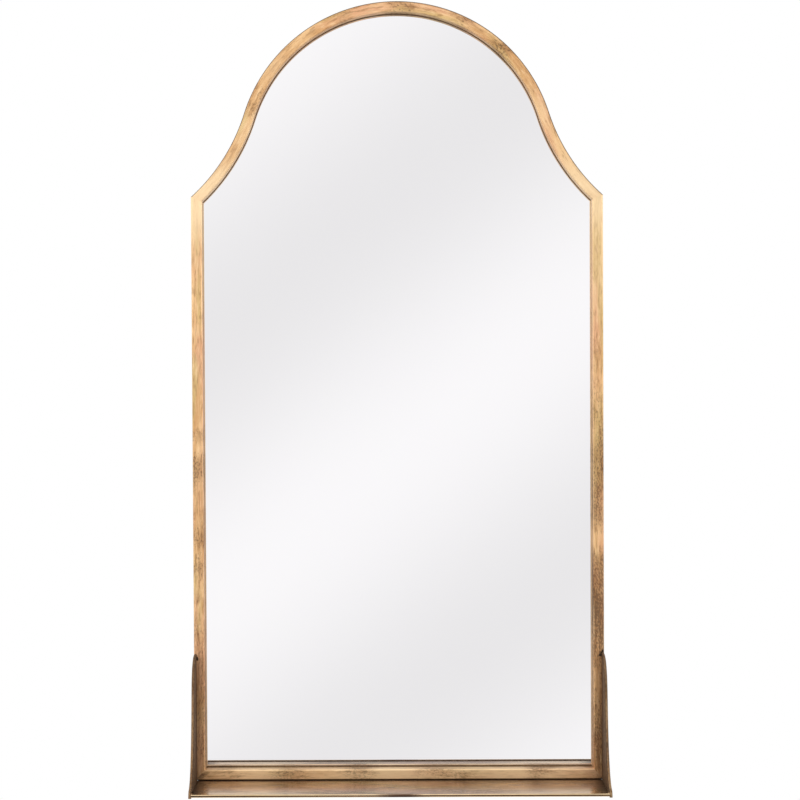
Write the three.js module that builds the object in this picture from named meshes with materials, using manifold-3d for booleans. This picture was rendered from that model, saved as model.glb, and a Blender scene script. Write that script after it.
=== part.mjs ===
// Arched wall mirror with a shallow shelf at its foot.
//
// Millimetres, +Z up. X runs along the width and the room lies on the -Y side. The plane
// y = 0 is the wall that the rubber bumpers rest on, and the origin lies on it, midway
// between the two hanger rings and level with their pivots.
//
// The frame is square-cornered steel tube, bent for the arch and mitred at the shoulders
// and at the foot. Glass, a cushion sheet and a backing board go in from behind, against a
// thin stop, and swivelling turn buttons hold them. The shelf is sheet steel with rolled
// edges: its floor passes under the bottom rail, between two cheeks that are welded to the
// fronts of the stiles and reach down past the floor's sides.

import * as THREE from 'three';
import { mergeVertices } from 'three/addons/utils/BufferGeometryUtils.js';
import Module from 'manifold-3d';

const wasm = await Module();
wasm.setup();

// ---- Driving dimensions ----

// Outline of the frame
const frameWidth = 610; // outside of one stile to the outside of the other
const stileHeight = 868; // underside of the bottom rail to the shoulder corners
const crownRadius = 237; // outer edge of the round crown
const crownLift = 50; // centre of the crown above the shoulder corners
const coveRadius = 278; // outer edge of the hollow sweep between crown and shoulder

// Tube that the frame is made of
const barFace = 16; // seen from the front
const barDepth = 30; // front to back
const barWall = 1.5;
const barRounding = 2; // of its long edges
const mitreGap = 0.3; // weld seam at each mitre

// Glazing, from the front to the back
const stopWidth = 2; // how far the glass stop stands into the opening
const stopThickness = 2;
const glassThickness = 4;
const cushionThickness = 1;
const boardThickness = 5;
const glazingClearance = 0.5; // between the glazing's edges and the tube

// Shelf
const shelfProjection = 105; // front of the tube to the front of the rolled edge
const shelfSheet = 1.5; // thickness of the sheet steel
const hemDiameter = 4.5; // rolled edge
const cheekHeight = 187; // shelf floor to the middle of the rolled edge at the stile
const cheekWaist = 42; // how far the cheek stands forward at its waist
const cheekWaistHeight = 143; // of that waist above the shelf floor
const cheekToeLength = 6; // rounded toe, where the rolled edge turns down at the front
const cheekToeHeight = 5;

// Wall side
const bumperThickness = 6;
const bumperRadius = 7;
const bumperTopRadius = 6; // where it meets the wall
const bumperFromCorner = 34; // along the stile, from the shoulder and from the foot

// Screws, one size throughout
const screwShankRadius = 1.75;
const screwLength = 9; // under the head
const screwHeadRadius = 3.4;
const screwHeadHeight = 1.9;
const screwClearance = 0.3; // around the shank
const workingGap = 0.3; // between parts that slide or swing over each other

// Turn buttons
const buttonWidth = 9;
const buttonReach = 21; // pivot to the tip
const buttonThickness = 1.5;
const buttonCrownAngle = 42; // degrees from the top of the crown
const buttonUpperHeight = 640; // above the underside of the rail, on the stiles
const buttonLowerHeight = 220;
const buttonRailOffset = 150; // from the middle, on the bottom rail

// Hangers
const hangerDrop = 60; // ring pivot below the shoulder corners
const strapWidth = 10;
const strapThickness = 1.2;
const strapLength = 42; // pivot to the lower end
const strapScrewDrops = [21, 35]; // below the pivot
const ringWireRadius = 1.25;
const ringSideClearance = 0.4; // between the strap's edge and the ring
const ringLength = 13; // pivot to the middle of the wire at the far end

// Smoothness
const crownSteps = 36;
const coveSteps = 8;
const roundSides = 12;

// ---- Levels and places worked out from them ----

const halfWidth = frameWidth / 2;
const backY = -bumperThickness; // back of the tube
const frontY = backY - barDepth; // front of the tube
const shoulderZ = hangerDrop;
const footZ = shoulderZ - stileHeight; // underside of the rail, top of the shelf floor
const undersideZ = footZ - hemDiameter; // lowest level, of the rolled edges
const crownCentre = new THREE.Vector2(0, shoulderZ + crownLift);
const stileMiddle = halfWidth - barFace / 2;

const boardFrontY = backY - boardThickness;
const cushionFrontY = boardFrontY - cushionThickness;
const glassFrontY = cushionFrontY - glassThickness;
const stopFrontY = glassFrontY - stopThickness;

// Centre of the right-hand cove: its circle meets the crown's circle from outside and
// passes through the shoulder corner.
function findCoveCentre() {
  const corner = new THREE.Vector2(halfWidth, shoulderZ);
  const toCorner = corner.clone().sub(crownCentre);
  const span = toCorner.length();
  const fromCrown = crownRadius + coveRadius;
  const along = (fromCrown ** 2 - coveRadius ** 2 + span ** 2) / (2 * span);
  const across = Math.sqrt(fromCrown ** 2 - along ** 2);
  const unit = toCorner.divideScalar(span);
  return new THREE.Vector2(
    crownCentre.x + unit.x * along - unit.y * across,
    crownCentre.y + unit.y * along + unit.x * across,
  );
}
const coveCentre = findCoveCentre();

// Where the crown turns into the cove, as an angle at the crown's centre.
const turnAngle = Math.atan2(coveCentre.y - crownCentre.y, coveCentre.x - crownCentre.x);

// Angle at the cove's centre at which the line `offset` inside the outline reaches the
// straight line of the stile.
function coveEndAngle(offset) {
  const radius = coveRadius + offset;
  const reach = coveCentre.x - (halfWidth - offset);
  return Math.PI + Math.acos(reach / radius);
}

// ---- Solids ----

function toSolid(geometry) {
  const bare = geometry.clone();
  bare.deleteAttribute('normal');
  bare.deleteAttribute('uv');
  const merged = mergeVertices(bare, 1e-5);
  const mesh = new wasm.Mesh({
    numProp: 3,
    vertProperties: new Float32Array(merged.attributes.position.array),
    triVerts: new Uint32Array(merged.index.array),
  });
  return new wasm.Manifold(mesh);
}

function toGeometry(solid) {
  const mesh = solid.getMesh();
  const geometry = new THREE.BufferGeometry();
  geometry.setAttribute('position', new THREE.BufferAttribute(mesh.vertProperties, 3));
  geometry.setIndex(new THREE.BufferAttribute(mesh.triVerts, 1));
  geometry.computeVertexNormals();
  return geometry;
}

// A shape drawn in X and Z, carried from yFront back to yBack.
function slab(shape, yFront, yBack) {
  const settings = { depth: yBack - yFront, bevelEnabled: false, curveSegments: 8 };
  const geometry = new THREE.ExtrudeGeometry(shape, settings);
  geometry.rotateX(Math.PI / 2);
  geometry.translate(0, yBack, 0);
  return geometry;
}

// A shape drawn in Y and Z, carried from xLow to xHigh.
function panel(shape, xLow, xHigh) {
  const settings = { depth: xHigh - xLow, bevelEnabled: false, curveSegments: 8 };
  const geometry = new THREE.ExtrudeGeometry(shape, settings);
  const turn = new THREE.Matrix4().set(0, 0, 1, xLow, 1, 0, 0, 0, 0, 1, 0, 0, 0, 0, 0, 1);
  geometry.applyMatrix4(turn);
  return geometry;
}

// A closed skin over rings of points, with flat ends, or joined end to end.
function skin(rings, joined = false) {
  const sides = rings[0].length;
  const positions = rings.flat().flatMap((point) => [point.x, point.y, point.z]);
  const indices = [];
  const bands = joined ? rings.length : rings.length - 1;
  for (let band = 0; band < bands; band += 1) {
    const here = band * sides;
    const next = ((band + 1) % rings.length) * sides;
    for (let side = 0; side < sides; side += 1) {
      const after = (side + 1) % sides;
      indices.push(here + side, here + after, next + after);
      indices.push(here + side, next + after, next + side);
    }
  }
  if (!joined) {
    const last = (rings.length - 1) * sides;
    for (let side = 1; side < sides - 1; side += 1) {
      indices.push(0, side + 1, side);
      indices.push(last, last + side, last + side + 1);
    }
  }
  const geometry = new THREE.BufferGeometry();
  geometry.setAttribute('position', new THREE.Float32BufferAttribute(positions, 3));
  geometry.setIndex(indices);
  return geometry;
}

// A box that takes away everything beyond a line drawn in X and Z: the line passes
// through `point`, and `away` points to the side that goes.
function beyond(point, away) {
  const size = 4 * frameWidth;
  const geometry = new THREE.BoxGeometry(size, size, size);
  geometry.translate(size / 2, 0, 0);
  geometry.rotateY(-Math.atan2(away.y, away.x));
  geometry.translate(point.x, 0, point.y);
  return toSolid(geometry);
}

function block(xLow, xHigh, yLow, yHigh, zLow, zHigh) {
  const geometry = new THREE.BoxGeometry(xHigh - xLow, yHigh - yLow, zHigh - zLow);
  geometry.translate((xLow + xHigh) / 2, (yLow + yHigh) / 2, (zLow + zHigh) / 2);
  return toSolid(geometry);
}

// A round bar along Y, from yLow to yHigh.
function roundAlongY(x, z, radius, yLow, yHigh) {
  const geometry = new THREE.CylinderGeometry(radius, radius, yHigh - yLow, roundSides);
  geometry.translate(x, (yLow + yHigh) / 2, z);
  return geometry;
}

// ---- Outline of the frame ----

// Points of the arch `offset` inside its outer edge, from the left shoulder over the
// crown to the right shoulder. `overrun` degrees carry each cove past its shoulder.
function archPoints(offset, overrun = 0) {
  const right = [];
  const crownHalf = crownSteps / 2;
  for (let step = 0; step <= crownHalf; step += 1) {
    const angle = Math.PI / 2 + ((turnAngle - Math.PI / 2) * step) / crownHalf;
    right.push({ centre: crownCentre, radius: crownRadius - offset, angle });
  }
  const start = turnAngle + Math.PI;
  const stride = (coveEndAngle(0) - start) / coveSteps;
  const stop = overrun ? coveEndAngle(0) + THREE.MathUtils.degToRad(overrun) : coveEndAngle(offset);
  for (let angle = start + stride; angle < stop - stride / 4; angle += stride) {
    right.push({ centre: coveCentre, radius: coveRadius + offset, angle });
  }
  right.push({ centre: coveCentre, radius: coveRadius + offset, angle: stop });
  const points = right.map(
    ({ centre, radius, angle }) =>
      new THREE.Vector2(centre.x + radius * Math.cos(angle), centre.y + radius * Math.sin(angle)),
  );
  const left = points.slice(1).map((point) => new THREE.Vector2(-point.x, point.y));
  return [...left.reverse(), ...points];
}

// The whole opening `offset` inside the outer edge.
function openingShape(offset) {
  const foot = footZ + offset;
  const side = halfWidth - offset;
  const points = [new THREE.Vector2(side, foot), new THREE.Vector2(-side, foot)];
  return new THREE.Shape([...points, ...archPoints(offset)]);
}

// The shoulder's mitre line, from its outer to its inner corner, on the right.
const shoulderOuter = new THREE.Vector2(halfWidth, shoulderZ);
const innerEndAngle = coveEndAngle(barFace);
const shoulderInner = new THREE.Vector2(
  coveCentre.x + (coveRadius + barFace) * Math.cos(innerEndAngle),
  coveCentre.y + (coveRadius + barFace) * Math.sin(innerEndAngle),
);

// A box that keeps a bar clear of a mitre. The line runs from `outer` to `inner`, and the
// sign says which side of it goes. It stands back by half of the weld seam.
function mitreCut(outer, inner, sign) {
  const along = inner.clone().sub(outer).normalize();
  const away = new THREE.Vector2(-along.y, along.x).multiplyScalar(sign);
  const point = outer.clone().addScaledVector(away, -mitreGap / 2);
  return beyond(point, away);
}

// ---- Frame bars ----

// Section of the tube: how far inside the outline, and the place from front to back.
function barSection(inset, rounding) {
  const points = [];
  const corners = [
    { offset: inset, y: frontY + inset, turn: 0 },
    { offset: barFace - inset, y: frontY + inset, turn: 1 },
    { offset: barFace - inset, y: backY - inset, turn: 2 },
    { offset: inset, y: backY - inset, turn: 3 },
  ];
  const steps = rounding ? 3 : 0;
  for (const { offset, y, turn } of corners) {
    const inwards = turn === 0 || turn === 3 ? 1 : -1;
    const backwards = turn < 2 ? 1 : -1;
    for (let step = 0; step <= steps; step += 1) {
      const angle = Math.PI + (Math.PI / 2) * (turn + (steps ? step / steps : 0));
      points.push({
        offset: offset + rounding * (inwards + Math.cos(angle)),
        y: y + rounding * (backwards + Math.sin(angle)),
      });
    }
  }
  return points;
}

const tubeOuter = barSection(0, barRounding);
const tubeInner = barSection(barWall, 0);

// The arch's bar: at each point of the outline, the section stands across it.
function archBar(section) {
  const overrun = 4; // degrees past each shoulder, cut off again at the mitre
  const lines = section.map(({ offset }) => archPoints(offset, overrun));
  const rings = lines[0].map((unused, index) =>
    section.map(({ y }, side) => {
      const point = lines[side][index];
      return new THREE.Vector3(point.x, y, point.y);
    }),
  );
  return toSolid(skin(rings));
}

// A straight bar between two points of the outer edge. `inward` points into the opening.
function straightBar(section, from, to, inward) {
  const rings = [from, to].map((end) =>
    section.map(({ offset, y }) =>
      new THREE.Vector3(end.x + inward.x * offset, y, end.y + inward.y * offset),
    ),
  );
  return toSolid(skin(rings));
}

function drill(solid, x, z) {
  const radius = screwShankRadius + screwClearance;
  return solid.subtract(toSolid(roundAlongY(x, z, radius, backY - 2 * barWall, 0)));
}

// Turns a solid bar and its hollow into a tube, cut to its mitres and drilled.
function finishTube(makeBar, cuts, holes) {
  let tube = makeBar(tubeOuter).subtract(makeBar(tubeInner));
  for (const cut of cuts) {
    tube = tube.subtract(cut);
  }
  for (const { x, z } of holes) {
    tube = drill(tube, x, z);
  }
  return toGeometry(tube);
}

function mirrorX(vector) {
  return new THREE.Vector2(-vector.x, vector.y);
}

// ---- Places of the turn buttons and hangers ----

// Each button pivots on the middle of the bar; `aim` is the way its tip points at rest,
// in degrees from +X towards +Z.
function buttonPlaces() {
  const places = [];
  const middleRadius = crownRadius - barFace / 2;
  for (const [side, sign] of [['left', -1], ['right', 1]]) {
    const lean = THREE.MathUtils.degToRad(buttonCrownAngle);
    places.push({
      name: `crown_${side}`,
      x: sign * middleRadius * Math.sin(lean),
      z: crownCentre.y + middleRadius * Math.cos(lean),
      aim: -90 - sign * buttonCrownAngle,
    });
    const heights = { upper: buttonUpperHeight, lower: buttonLowerHeight };
    for (const [level, height] of Object.entries(heights)) {
      const aim = sign > 0 ? 180 : 0;
      places.push({ name: `${side}_${level}`, x: sign * stileMiddle, z: footZ + height, aim });
    }
    places.push({
      name: `foot_${side}`,
      x: sign * buttonRailOffset,
      z: footZ + barFace / 2,
      aim: 90,
    });
  }
  return places;
}
const buttons = buttonPlaces();

function holesOn(names) {
  return buttons.filter(({ name }) => names.includes(name));
}

function strapHoles(sign) {
  return strapScrewDrops.map((drop) => ({ x: sign * stileMiddle, z: -drop }));
}

// ---- Frame pieces ----

function makeArch() {
  const cuts = [
    mitreCut(shoulderOuter, shoulderInner, 1),
    mitreCut(mirrorX(shoulderOuter), mirrorX(shoulderInner), -1),
  ];
  return finishTube(archBar, cuts, holesOn(['crown_left', 'crown_right']));
}

function makeStile(side, sign) {
  const over = 2 * barFace; // spare length, cut off at the mitres
  const edge = sign * halfWidth;
  const inward = new THREE.Vector2(-sign, 0);
  const ends = [
    new THREE.Vector2(edge, footZ - over),
    new THREE.Vector2(edge, shoulderZ + over),
  ];
  if (sign > 0) {
    ends.reverse(); // the outline runs clockwise, seen from the front
  }
  const shoulder = [shoulderOuter, shoulderInner];
  const foot = [
    new THREE.Vector2(halfWidth, footZ),
    new THREE.Vector2(halfWidth - barFace, footZ + barFace),
  ];
  const placed = (pair) => (sign > 0 ? pair : pair.map(mirrorX));
  const cuts = [mitreCut(...placed(shoulder), -sign), mitreCut(...placed(foot), sign)];
  const holes = [...holesOn([`${side}_upper`, `${side}_lower`]), ...strapHoles(sign)];
  return finishTube((section) => straightBar(section, ...ends, inward), cuts, holes);
}

function makeBottomRail() {
  const ends = [new THREE.Vector2(halfWidth, footZ), new THREE.Vector2(-halfWidth, footZ)];
  const corner = new THREE.Vector2(halfWidth, footZ);
  const inner = new THREE.Vector2(halfWidth - barFace, footZ + barFace);
  const cuts = [
    mitreCut(corner, inner, -1),
    mitreCut(mirrorX(corner), mirrorX(inner), 1),
  ];
  const inward = new THREE.Vector2(0, 1);
  const holes = holesOn(['foot_left', 'foot_right']);
  return finishTube((section) => straightBar(section, ...ends, inward), cuts, holes);
}

// ---- Glass stops ----

function makeArchStop() {
  const outside = archPoints(barFace);
  const inside = archPoints(barFace + stopWidth).reverse();
  const shape = new THREE.Shape([...outside, ...inside].reverse());
  return slab(shape, stopFrontY, glassFrontY);
}

function makeStileStop(sign) {
  const outer = sign * (halfWidth - barFace);
  const inner = sign * (halfWidth - barFace - stopWidth);
  const archInner = archPoints(barFace + stopWidth).at(-1);
  const top = Math.min(shoulderInner.y, archInner.y) - workingGap;
  const xs = [outer, inner].sort((a, b) => a - b);
  return toGeometry(block(...xs, stopFrontY, glassFrontY, footZ + barFace, top));
}

function makeFootStop() {
  const reach = halfWidth - barFace - stopWidth;
  const low = footZ + barFace;
  return toGeometry(block(-reach, reach, stopFrontY, glassFrontY, low, low + stopWidth));
}

// ---- Shelf ----

// Middle line of the cheek's rolled edge, in Y and Z: a rounded shoulder at the stile, a
// waist, a long sweep out to the front of the floor, and a toe that turns down to the
// underside.
function cheekPath() {
  const point = (forward, up) => new THREE.Vector3(0, frontY - forward, footZ + up);
  const hemRadius = hemDiameter / 2;
  const front = shelfProjection - hemRadius;
  const waist = point(cheekWaist, cheekWaistHeight);
  const drop = cheekHeight - cheekWaistHeight;
  const shoulder = new THREE.CubicBezierCurve3(
    point(0, cheekHeight),
    point(0.54 * cheekWaist, cheekHeight),
    point(0.9 * cheekWaist, cheekWaistHeight + 0.62 * drop),
    waist,
  );
  const toe = point(front - cheekToeLength, cheekToeHeight);
  const sweep = new THREE.CubicBezierCurve3(
    waist,
    point(1.12 * cheekWaist, 0.79 * cheekWaistHeight),
    point(0.52 * front, 0.12 * cheekWaistHeight),
    toe,
  );
  const toeTurn = new THREE.QuadraticBezierCurve3(
    toe,
    point(front, 0.65 * cheekToeHeight),
    point(front, -hemDiameter),
  );
  const shoulderSteps = 10;
  const sweepSteps = 16;
  const toeSteps = 5;
  return [
    ...shoulder.getPoints(shoulderSteps),
    ...sweep.getPoints(sweepSteps).slice(1),
    ...toeTurn.getPoints(toeSteps).slice(1),
  ];
}

function makeCheek(sign) {
  const hemRadius = hemDiameter / 2;
  const hemX = halfWidth - hemRadius;
  const innerX = halfWidth - hemDiameter;
  const path = cheekPath();
  const edge = path.map(({ y, z }) => new THREE.Vector2(y, z));
  const outline = new THREE.Shape([...edge, new THREE.Vector2(frontY, undersideZ)]);
  const sheet = toSolid(panel(outline, innerX, innerX + shelfSheet));
  const rings = path.map((point, index) => {
    const before = path[Math.max(index - 1, 0)];
    const after = path[Math.min(index + 1, path.length - 1)];
    const forward = after.clone().sub(before).normalize();
    const across = new THREE.Vector3(1, 0, 0);
    const up = new THREE.Vector3().crossVectors(across, forward);
    const ring = [];
    for (let side = 0; side < roundSides; side += 1) {
      const angle = (2 * Math.PI * side) / roundSides;
      ring.push(
        new THREE.Vector3(hemX, point.y, point.z)
          .addScaledVector(across, hemRadius * Math.cos(angle))
          .addScaledVector(up, -hemRadius * Math.sin(angle)),
      );
    }
    return ring;
  });
  const hem = toSolid(skin(rings));
  const far = 2 * shelfProjection;
  const high = footZ + 2 * cheekHeight;
  const keep = block(0, frameWidth, frontY - far, frontY, undersideZ, high);
  const geometry = toGeometry(sheet.add(hem).intersect(keep));
  return sign > 0 ? geometry : mirrored(geometry);
}

// Mirror image in X, with its faces turned outward again.
function mirrored(geometry) {
  const copy = geometry.clone().scale(-1, 1, 1);
  const index = copy.index.array;
  for (let corner = 0; corner < index.length; corner += 3) {
    [index[corner], index[corner + 1]] = [index[corner + 1], index[corner]];
  }
  copy.computeVertexNormals();
  return copy;
}

// The floor lies between the cheeks and passes under the rail; its front is rolled under.
function makeShelfFloor() {
  const hemRadius = hemDiameter / 2;
  const hemY = frontY - shelfProjection + hemRadius;
  const side = halfWidth - hemDiameter;
  const sheet = block(-side, side, hemY, backY, footZ - shelfSheet, footZ);
  const hem = new THREE.CylinderGeometry(hemRadius, hemRadius, 2 * side, roundSides);
  hem.rotateZ(Math.PI / 2);
  hem.translate(0, hemY, footZ - hemRadius);
  return toGeometry(sheet.add(toSolid(hem)));
}

// ---- Fasteners and hardware ----

// A pan-head screw whose head sits with its underside at `seatY`, pointing into the bar.
function makeScrew(x, z, seatY) {
  const tip = 1;
  const profile = [
    [0, -screwLength],
    [0.4 * screwShankRadius, -screwLength],
    [screwShankRadius, -screwLength + tip],
    [screwShankRadius, 0],
    [screwHeadRadius, 0],
    [screwHeadRadius, 0.45 * screwHeadHeight],
    [0.6 * screwHeadRadius, screwHeadHeight],
    [0, screwHeadHeight],
  ].map(([radius, height]) => new THREE.Vector2(radius, height));
  const geometry = new THREE.LatheGeometry(profile, roundSides);
  geometry.translate(x, seatY, z);
  return geometry;
}

const buttonFrontY = backY + workingGap;
const buttonBackY = buttonFrontY + buttonThickness;

function makeTurnButton({ x, z, aim }) {
  const half = buttonWidth / 2;
  const shape = new THREE.Shape();
  shape.absarc(0, 0, half, Math.PI / 2, 1.5 * Math.PI, false);
  shape.absarc(buttonReach - half, 0, half, -Math.PI / 2, Math.PI / 2, false);
  shape.closePath();
  const hole = new THREE.Path();
  hole.absarc(0, 0, screwShankRadius + screwClearance, 0, 2 * Math.PI, true);
  shape.holes.push(hole);
  const geometry = slab(shape, buttonFrontY, buttonBackY);
  geometry.rotateY(-THREE.MathUtils.degToRad(aim));
  geometry.translate(x, 0, z);
  return geometry;
}

const knuckleInner = ringWireRadius + workingGap;
const knuckleOuter = knuckleInner + strapThickness;
const pivotY = backY + knuckleOuter;

// The strap lies flat on the stile's back and is rolled round the ring's straight side.
function makeStrap(sign) {
  const shape = new THREE.Shape();
  shape.moveTo(backY, 0);
  shape.lineTo(backY, -strapLength);
  shape.lineTo(backY + strapThickness, -strapLength);
  shape.lineTo(backY + strapThickness, -knuckleOuter);
  shape.lineTo(pivotY, -knuckleOuter);
  shape.absarc(pivotY, 0, knuckleOuter, -Math.PI / 2, Math.PI, false);
  const eye = new THREE.Path();
  eye.absarc(pivotY, 0, knuckleInner, 0, 2 * Math.PI, true);
  shape.holes.push(eye);
  const middle = sign * stileMiddle;
  const half = strapWidth / 2;
  let strap = toSolid(panel(shape, middle - half, middle + half));
  for (const { x, z } of strapHoles(sign)) {
    strap = drill(strap, x, z);
  }
  return toGeometry(strap);
}

// D-shaped wire ring, hanging from its straight side.
function makeRing(sign) {
  const half = strapWidth / 2 + ringSideClearance + ringWireRadius;
  const bend = half; // radius of the round end
  const corner = 2.2; // radius of the two upper corners
  const middle = sign * stileMiddle;
  const path = new THREE.Path();
  path.moveTo(0, 0);
  path.lineTo(half - corner, 0);
  path.absarc(half - corner, -corner, corner, Math.PI / 2, 0, true);
  path.lineTo(half, bend - ringLength);
  path.absarc(0, bend - ringLength, bend, 0, -Math.PI, true);
  path.lineTo(-half, -corner);
  path.absarc(-half + corner, -corner, corner, Math.PI, Math.PI / 2, true);
  path.closePath();
  const count = 40;
  const sides = 8;
  const points = path.getSpacedPoints(count).slice(0, count);
  const rings = points.map((point, index) => {
    const before = points[(index + count - 1) % count];
    const after = points[(index + 1) % count];
    const along = after.clone().sub(before).normalize();
    const ring = [];
    for (let side = 0; side < sides; side += 1) {
      const angle = (2 * Math.PI * side) / sides;
      const outward = ringWireRadius * Math.cos(angle);
      ring.push(
        new THREE.Vector3(
          middle + point.x - along.y * outward,
          pivotY - ringWireRadius * Math.sin(angle),
          point.y + along.x * outward,
        ),
      );
    }
    return ring;
  });
  return skin(rings, true);
}

function makeBumper(sign, z) {
  const geometry = new THREE.CylinderGeometry(
    bumperTopRadius, bumperRadius, bumperThickness, 2 * roundSides,
  );
  geometry.translate(sign * stileMiddle, backY + bumperThickness / 2, z);
  return geometry;
}

// ---- Finishes ----

function finish(color, metalness, roughness) {
  return new THREE.MeshStandardMaterial({ color, metalness, roughness });
}
const finishes = {
  gilt: finish('#c79a66', 0.75, 0.45),
  mirror: finish('#eeeeee', 1, 0.03),
  cushion: finish('#e6e4de', 0, 0.9),
  board: finish('#8a6a48', 0, 0.85),
  zinc: finish('#b9bbb8', 0.9, 0.4),
  rubber: finish('#2b2a29', 0, 0.8),
};

// ---- Assembly ----

const mirror = new THREE.Group();

function put(name, geometry, material) {
  const mesh = new THREE.Mesh(geometry, material);
  mesh.name = name;
  mirror.add(mesh);
}

const glazing = openingShape(barFace + glazingClearance);
put('frame_arch', makeArch(), finishes.gilt);
put('frame_bottom_rail', makeBottomRail(), finishes.gilt);
put('glass_stop_arch', makeArchStop(), finishes.gilt);
put('glass_stop_foot', makeFootStop(), finishes.gilt);
put('mirror_glass', slab(glazing, glassFrontY, cushionFrontY), finishes.mirror);
put('cushion_sheet', slab(glazing, cushionFrontY, boardFrontY), finishes.cushion);
put('backing_board', slab(glazing, boardFrontY, backY), finishes.board);
put('shelf_floor', makeShelfFloor(), finishes.gilt);

for (const [side, sign] of [['left', -1], ['right', 1]]) {
  put(`frame_stile_${side}`, makeStile(side, sign), finishes.gilt);
  put(`glass_stop_${side}`, makeStileStop(sign), finishes.gilt);
  put(`shelf_cheek_${side}`, makeCheek(sign), finishes.gilt);
  put(`hanger_strap_${side}`, makeStrap(sign), finishes.zinc);
  put(`hanger_ring_${side}`, makeRing(sign), finishes.zinc);
  for (const [index, { x, z }] of strapHoles(sign).entries()) {
    const level = index ? 'lower' : 'upper';
    const name = `hanger_screw_${side}_${level}`;
    put(name, makeScrew(x, z, backY + strapThickness), finishes.zinc);
  }
  const bumperHeights = { upper: shoulderZ - bumperFromCorner, lower: footZ + bumperFromCorner };
  for (const [level, z] of Object.entries(bumperHeights)) {
    put(`wall_bumper_${side}_${level}`, makeBumper(sign, z), finishes.rubber);
  }
}

for (const place of buttons) {
  put(`turn_button_${place.name}`, makeTurnButton(place), finishes.zinc);
  const seat = buttonBackY + workingGap;
  put(`button_screw_${place.name}`, makeScrew(place.x, place.z, seat), finishes.zinc);
}

export default mirror;
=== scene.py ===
import math

import bmesh
import bpy
from mathutils import Matrix, Vector


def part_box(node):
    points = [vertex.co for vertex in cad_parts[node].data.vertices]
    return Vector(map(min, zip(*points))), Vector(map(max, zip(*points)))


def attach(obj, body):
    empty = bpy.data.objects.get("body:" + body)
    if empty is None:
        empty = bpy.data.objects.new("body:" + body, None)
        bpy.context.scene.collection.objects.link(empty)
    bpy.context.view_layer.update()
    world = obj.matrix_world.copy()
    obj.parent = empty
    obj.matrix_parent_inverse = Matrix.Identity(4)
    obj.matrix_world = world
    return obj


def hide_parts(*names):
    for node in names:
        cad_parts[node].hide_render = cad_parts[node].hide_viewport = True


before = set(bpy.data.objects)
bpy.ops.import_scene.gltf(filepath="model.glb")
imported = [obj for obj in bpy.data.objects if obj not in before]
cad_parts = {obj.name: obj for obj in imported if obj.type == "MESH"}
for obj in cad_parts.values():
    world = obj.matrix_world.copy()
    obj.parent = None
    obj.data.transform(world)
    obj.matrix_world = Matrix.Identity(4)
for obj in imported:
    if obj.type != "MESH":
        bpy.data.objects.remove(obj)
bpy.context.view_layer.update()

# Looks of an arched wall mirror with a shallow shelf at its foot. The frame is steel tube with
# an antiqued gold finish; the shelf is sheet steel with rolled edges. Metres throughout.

# ---- Sizes ----

MM = 0.001

stile_low, stile_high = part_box("frame_stile_right")
HALF_WIDTH = stile_high.x
BAR_FACE = stile_high.x - stile_low.x
FRONT_Y, BACK_Y = stile_low.y, stile_high.y
FOOT_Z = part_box("frame_bottom_rail")[0].z
BAR_ROUNDING = 2 * MM

CROWN_RADIUS = 237 * MM  # outer edge of the round crown
CROWN_LIFT = 50 * MM  # centre of the crown above the shoulders
COVE_RADIUS = 278 * MM  # outer edge of the hollow sweep
CROWN_CENTRE = Vector((0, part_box("frame_arch")[1].z - CROWN_RADIUS))
SHOULDER_Z = CROWN_CENTRE.y - CROWN_LIFT

GLASS_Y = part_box("mirror_glass")[0].y
stop_low, stop_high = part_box("glass_stop_foot")
STOP_WIDTH = stop_high.z - stop_low.z
STOP_FRONT_Y = stop_low.y

cheek_low, cheek_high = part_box("shelf_cheek_right")
HEM_RADIUS = (cheek_high.x - cheek_low.x) / 2
UNDERSIDE_Z = cheek_low.z
SHELF_FRONT_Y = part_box("shelf_floor")[0].y
SHELF_SHEET = 1.5 * MM
ROLLED_SHEET = 1.1 * MM  # the sheet where it is drawn thinner round the roll
CHEEK_INNER = HALF_WIDTH - 2 * HEM_RADIUS  # inner side of a cheek's rolled edge
CHEEK_STEP = 0.6 * MM  # how far a cheek's rolled edge stands proud of its sheet
FLOOR_STEP = 1.7 * MM  # the same on the shelf floor
FLOOR_DROP = 0.3 * MM  # of the floor's sheet under the rail
CHEEK_HEIGHT = 187 * MM
CHEEK_WAIST = 42 * MM
CHEEK_WAIST_HEIGHT = 143 * MM
CHEEK_TOE_LENGTH = 6 * MM
CHEEK_TOE_HEIGHT = 5 * MM

# Steps of the fine surfaces
CROWN_STEPS = 60  # from its top to one turn
COVE_STEPS = 26
STRAIGHT_STEP = 12 * MM


def lerp(start, end, share):
    return start + (end - start) * share


def smooth(low, high, value):
    share = min(1.0, max(0.0, (value - low) / (high - low)))
    return share * share * (3 - 2 * share)


# ---- Outline of the frame ----


def find_cove_centre():
    """Its circle meets the crown's from outside and passes through the right shoulder."""
    corner = Vector((HALF_WIDTH, SHOULDER_Z))
    span = (corner - CROWN_CENTRE).length
    unit = (corner - CROWN_CENTRE) / span
    reach = CROWN_RADIUS + COVE_RADIUS
    along = (reach**2 - COVE_RADIUS**2 + span**2) / (2 * span)
    across = math.sqrt(reach**2 - along**2)
    return CROWN_CENTRE + unit * along + Vector((-unit.y, unit.x)) * across


COVE_CENTRE = find_cove_centre()
TURN_ANGLE = math.atan2(COVE_CENTRE.y - CROWN_CENTRE.y, COVE_CENTRE.x - CROWN_CENTRE.x)


def on_circle(centre, radius, angle):
    return Vector((centre.x + radius * math.cos(angle), centre.y + radius * math.sin(angle)))


def cove_end_angle(offset):
    """Where the line `offset` inside the outline reaches the straight line of the stile."""
    reach = COVE_CENTRE.x - (HALF_WIDTH - offset)
    return math.pi + math.acos(reach / (COVE_RADIUS + offset))


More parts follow.
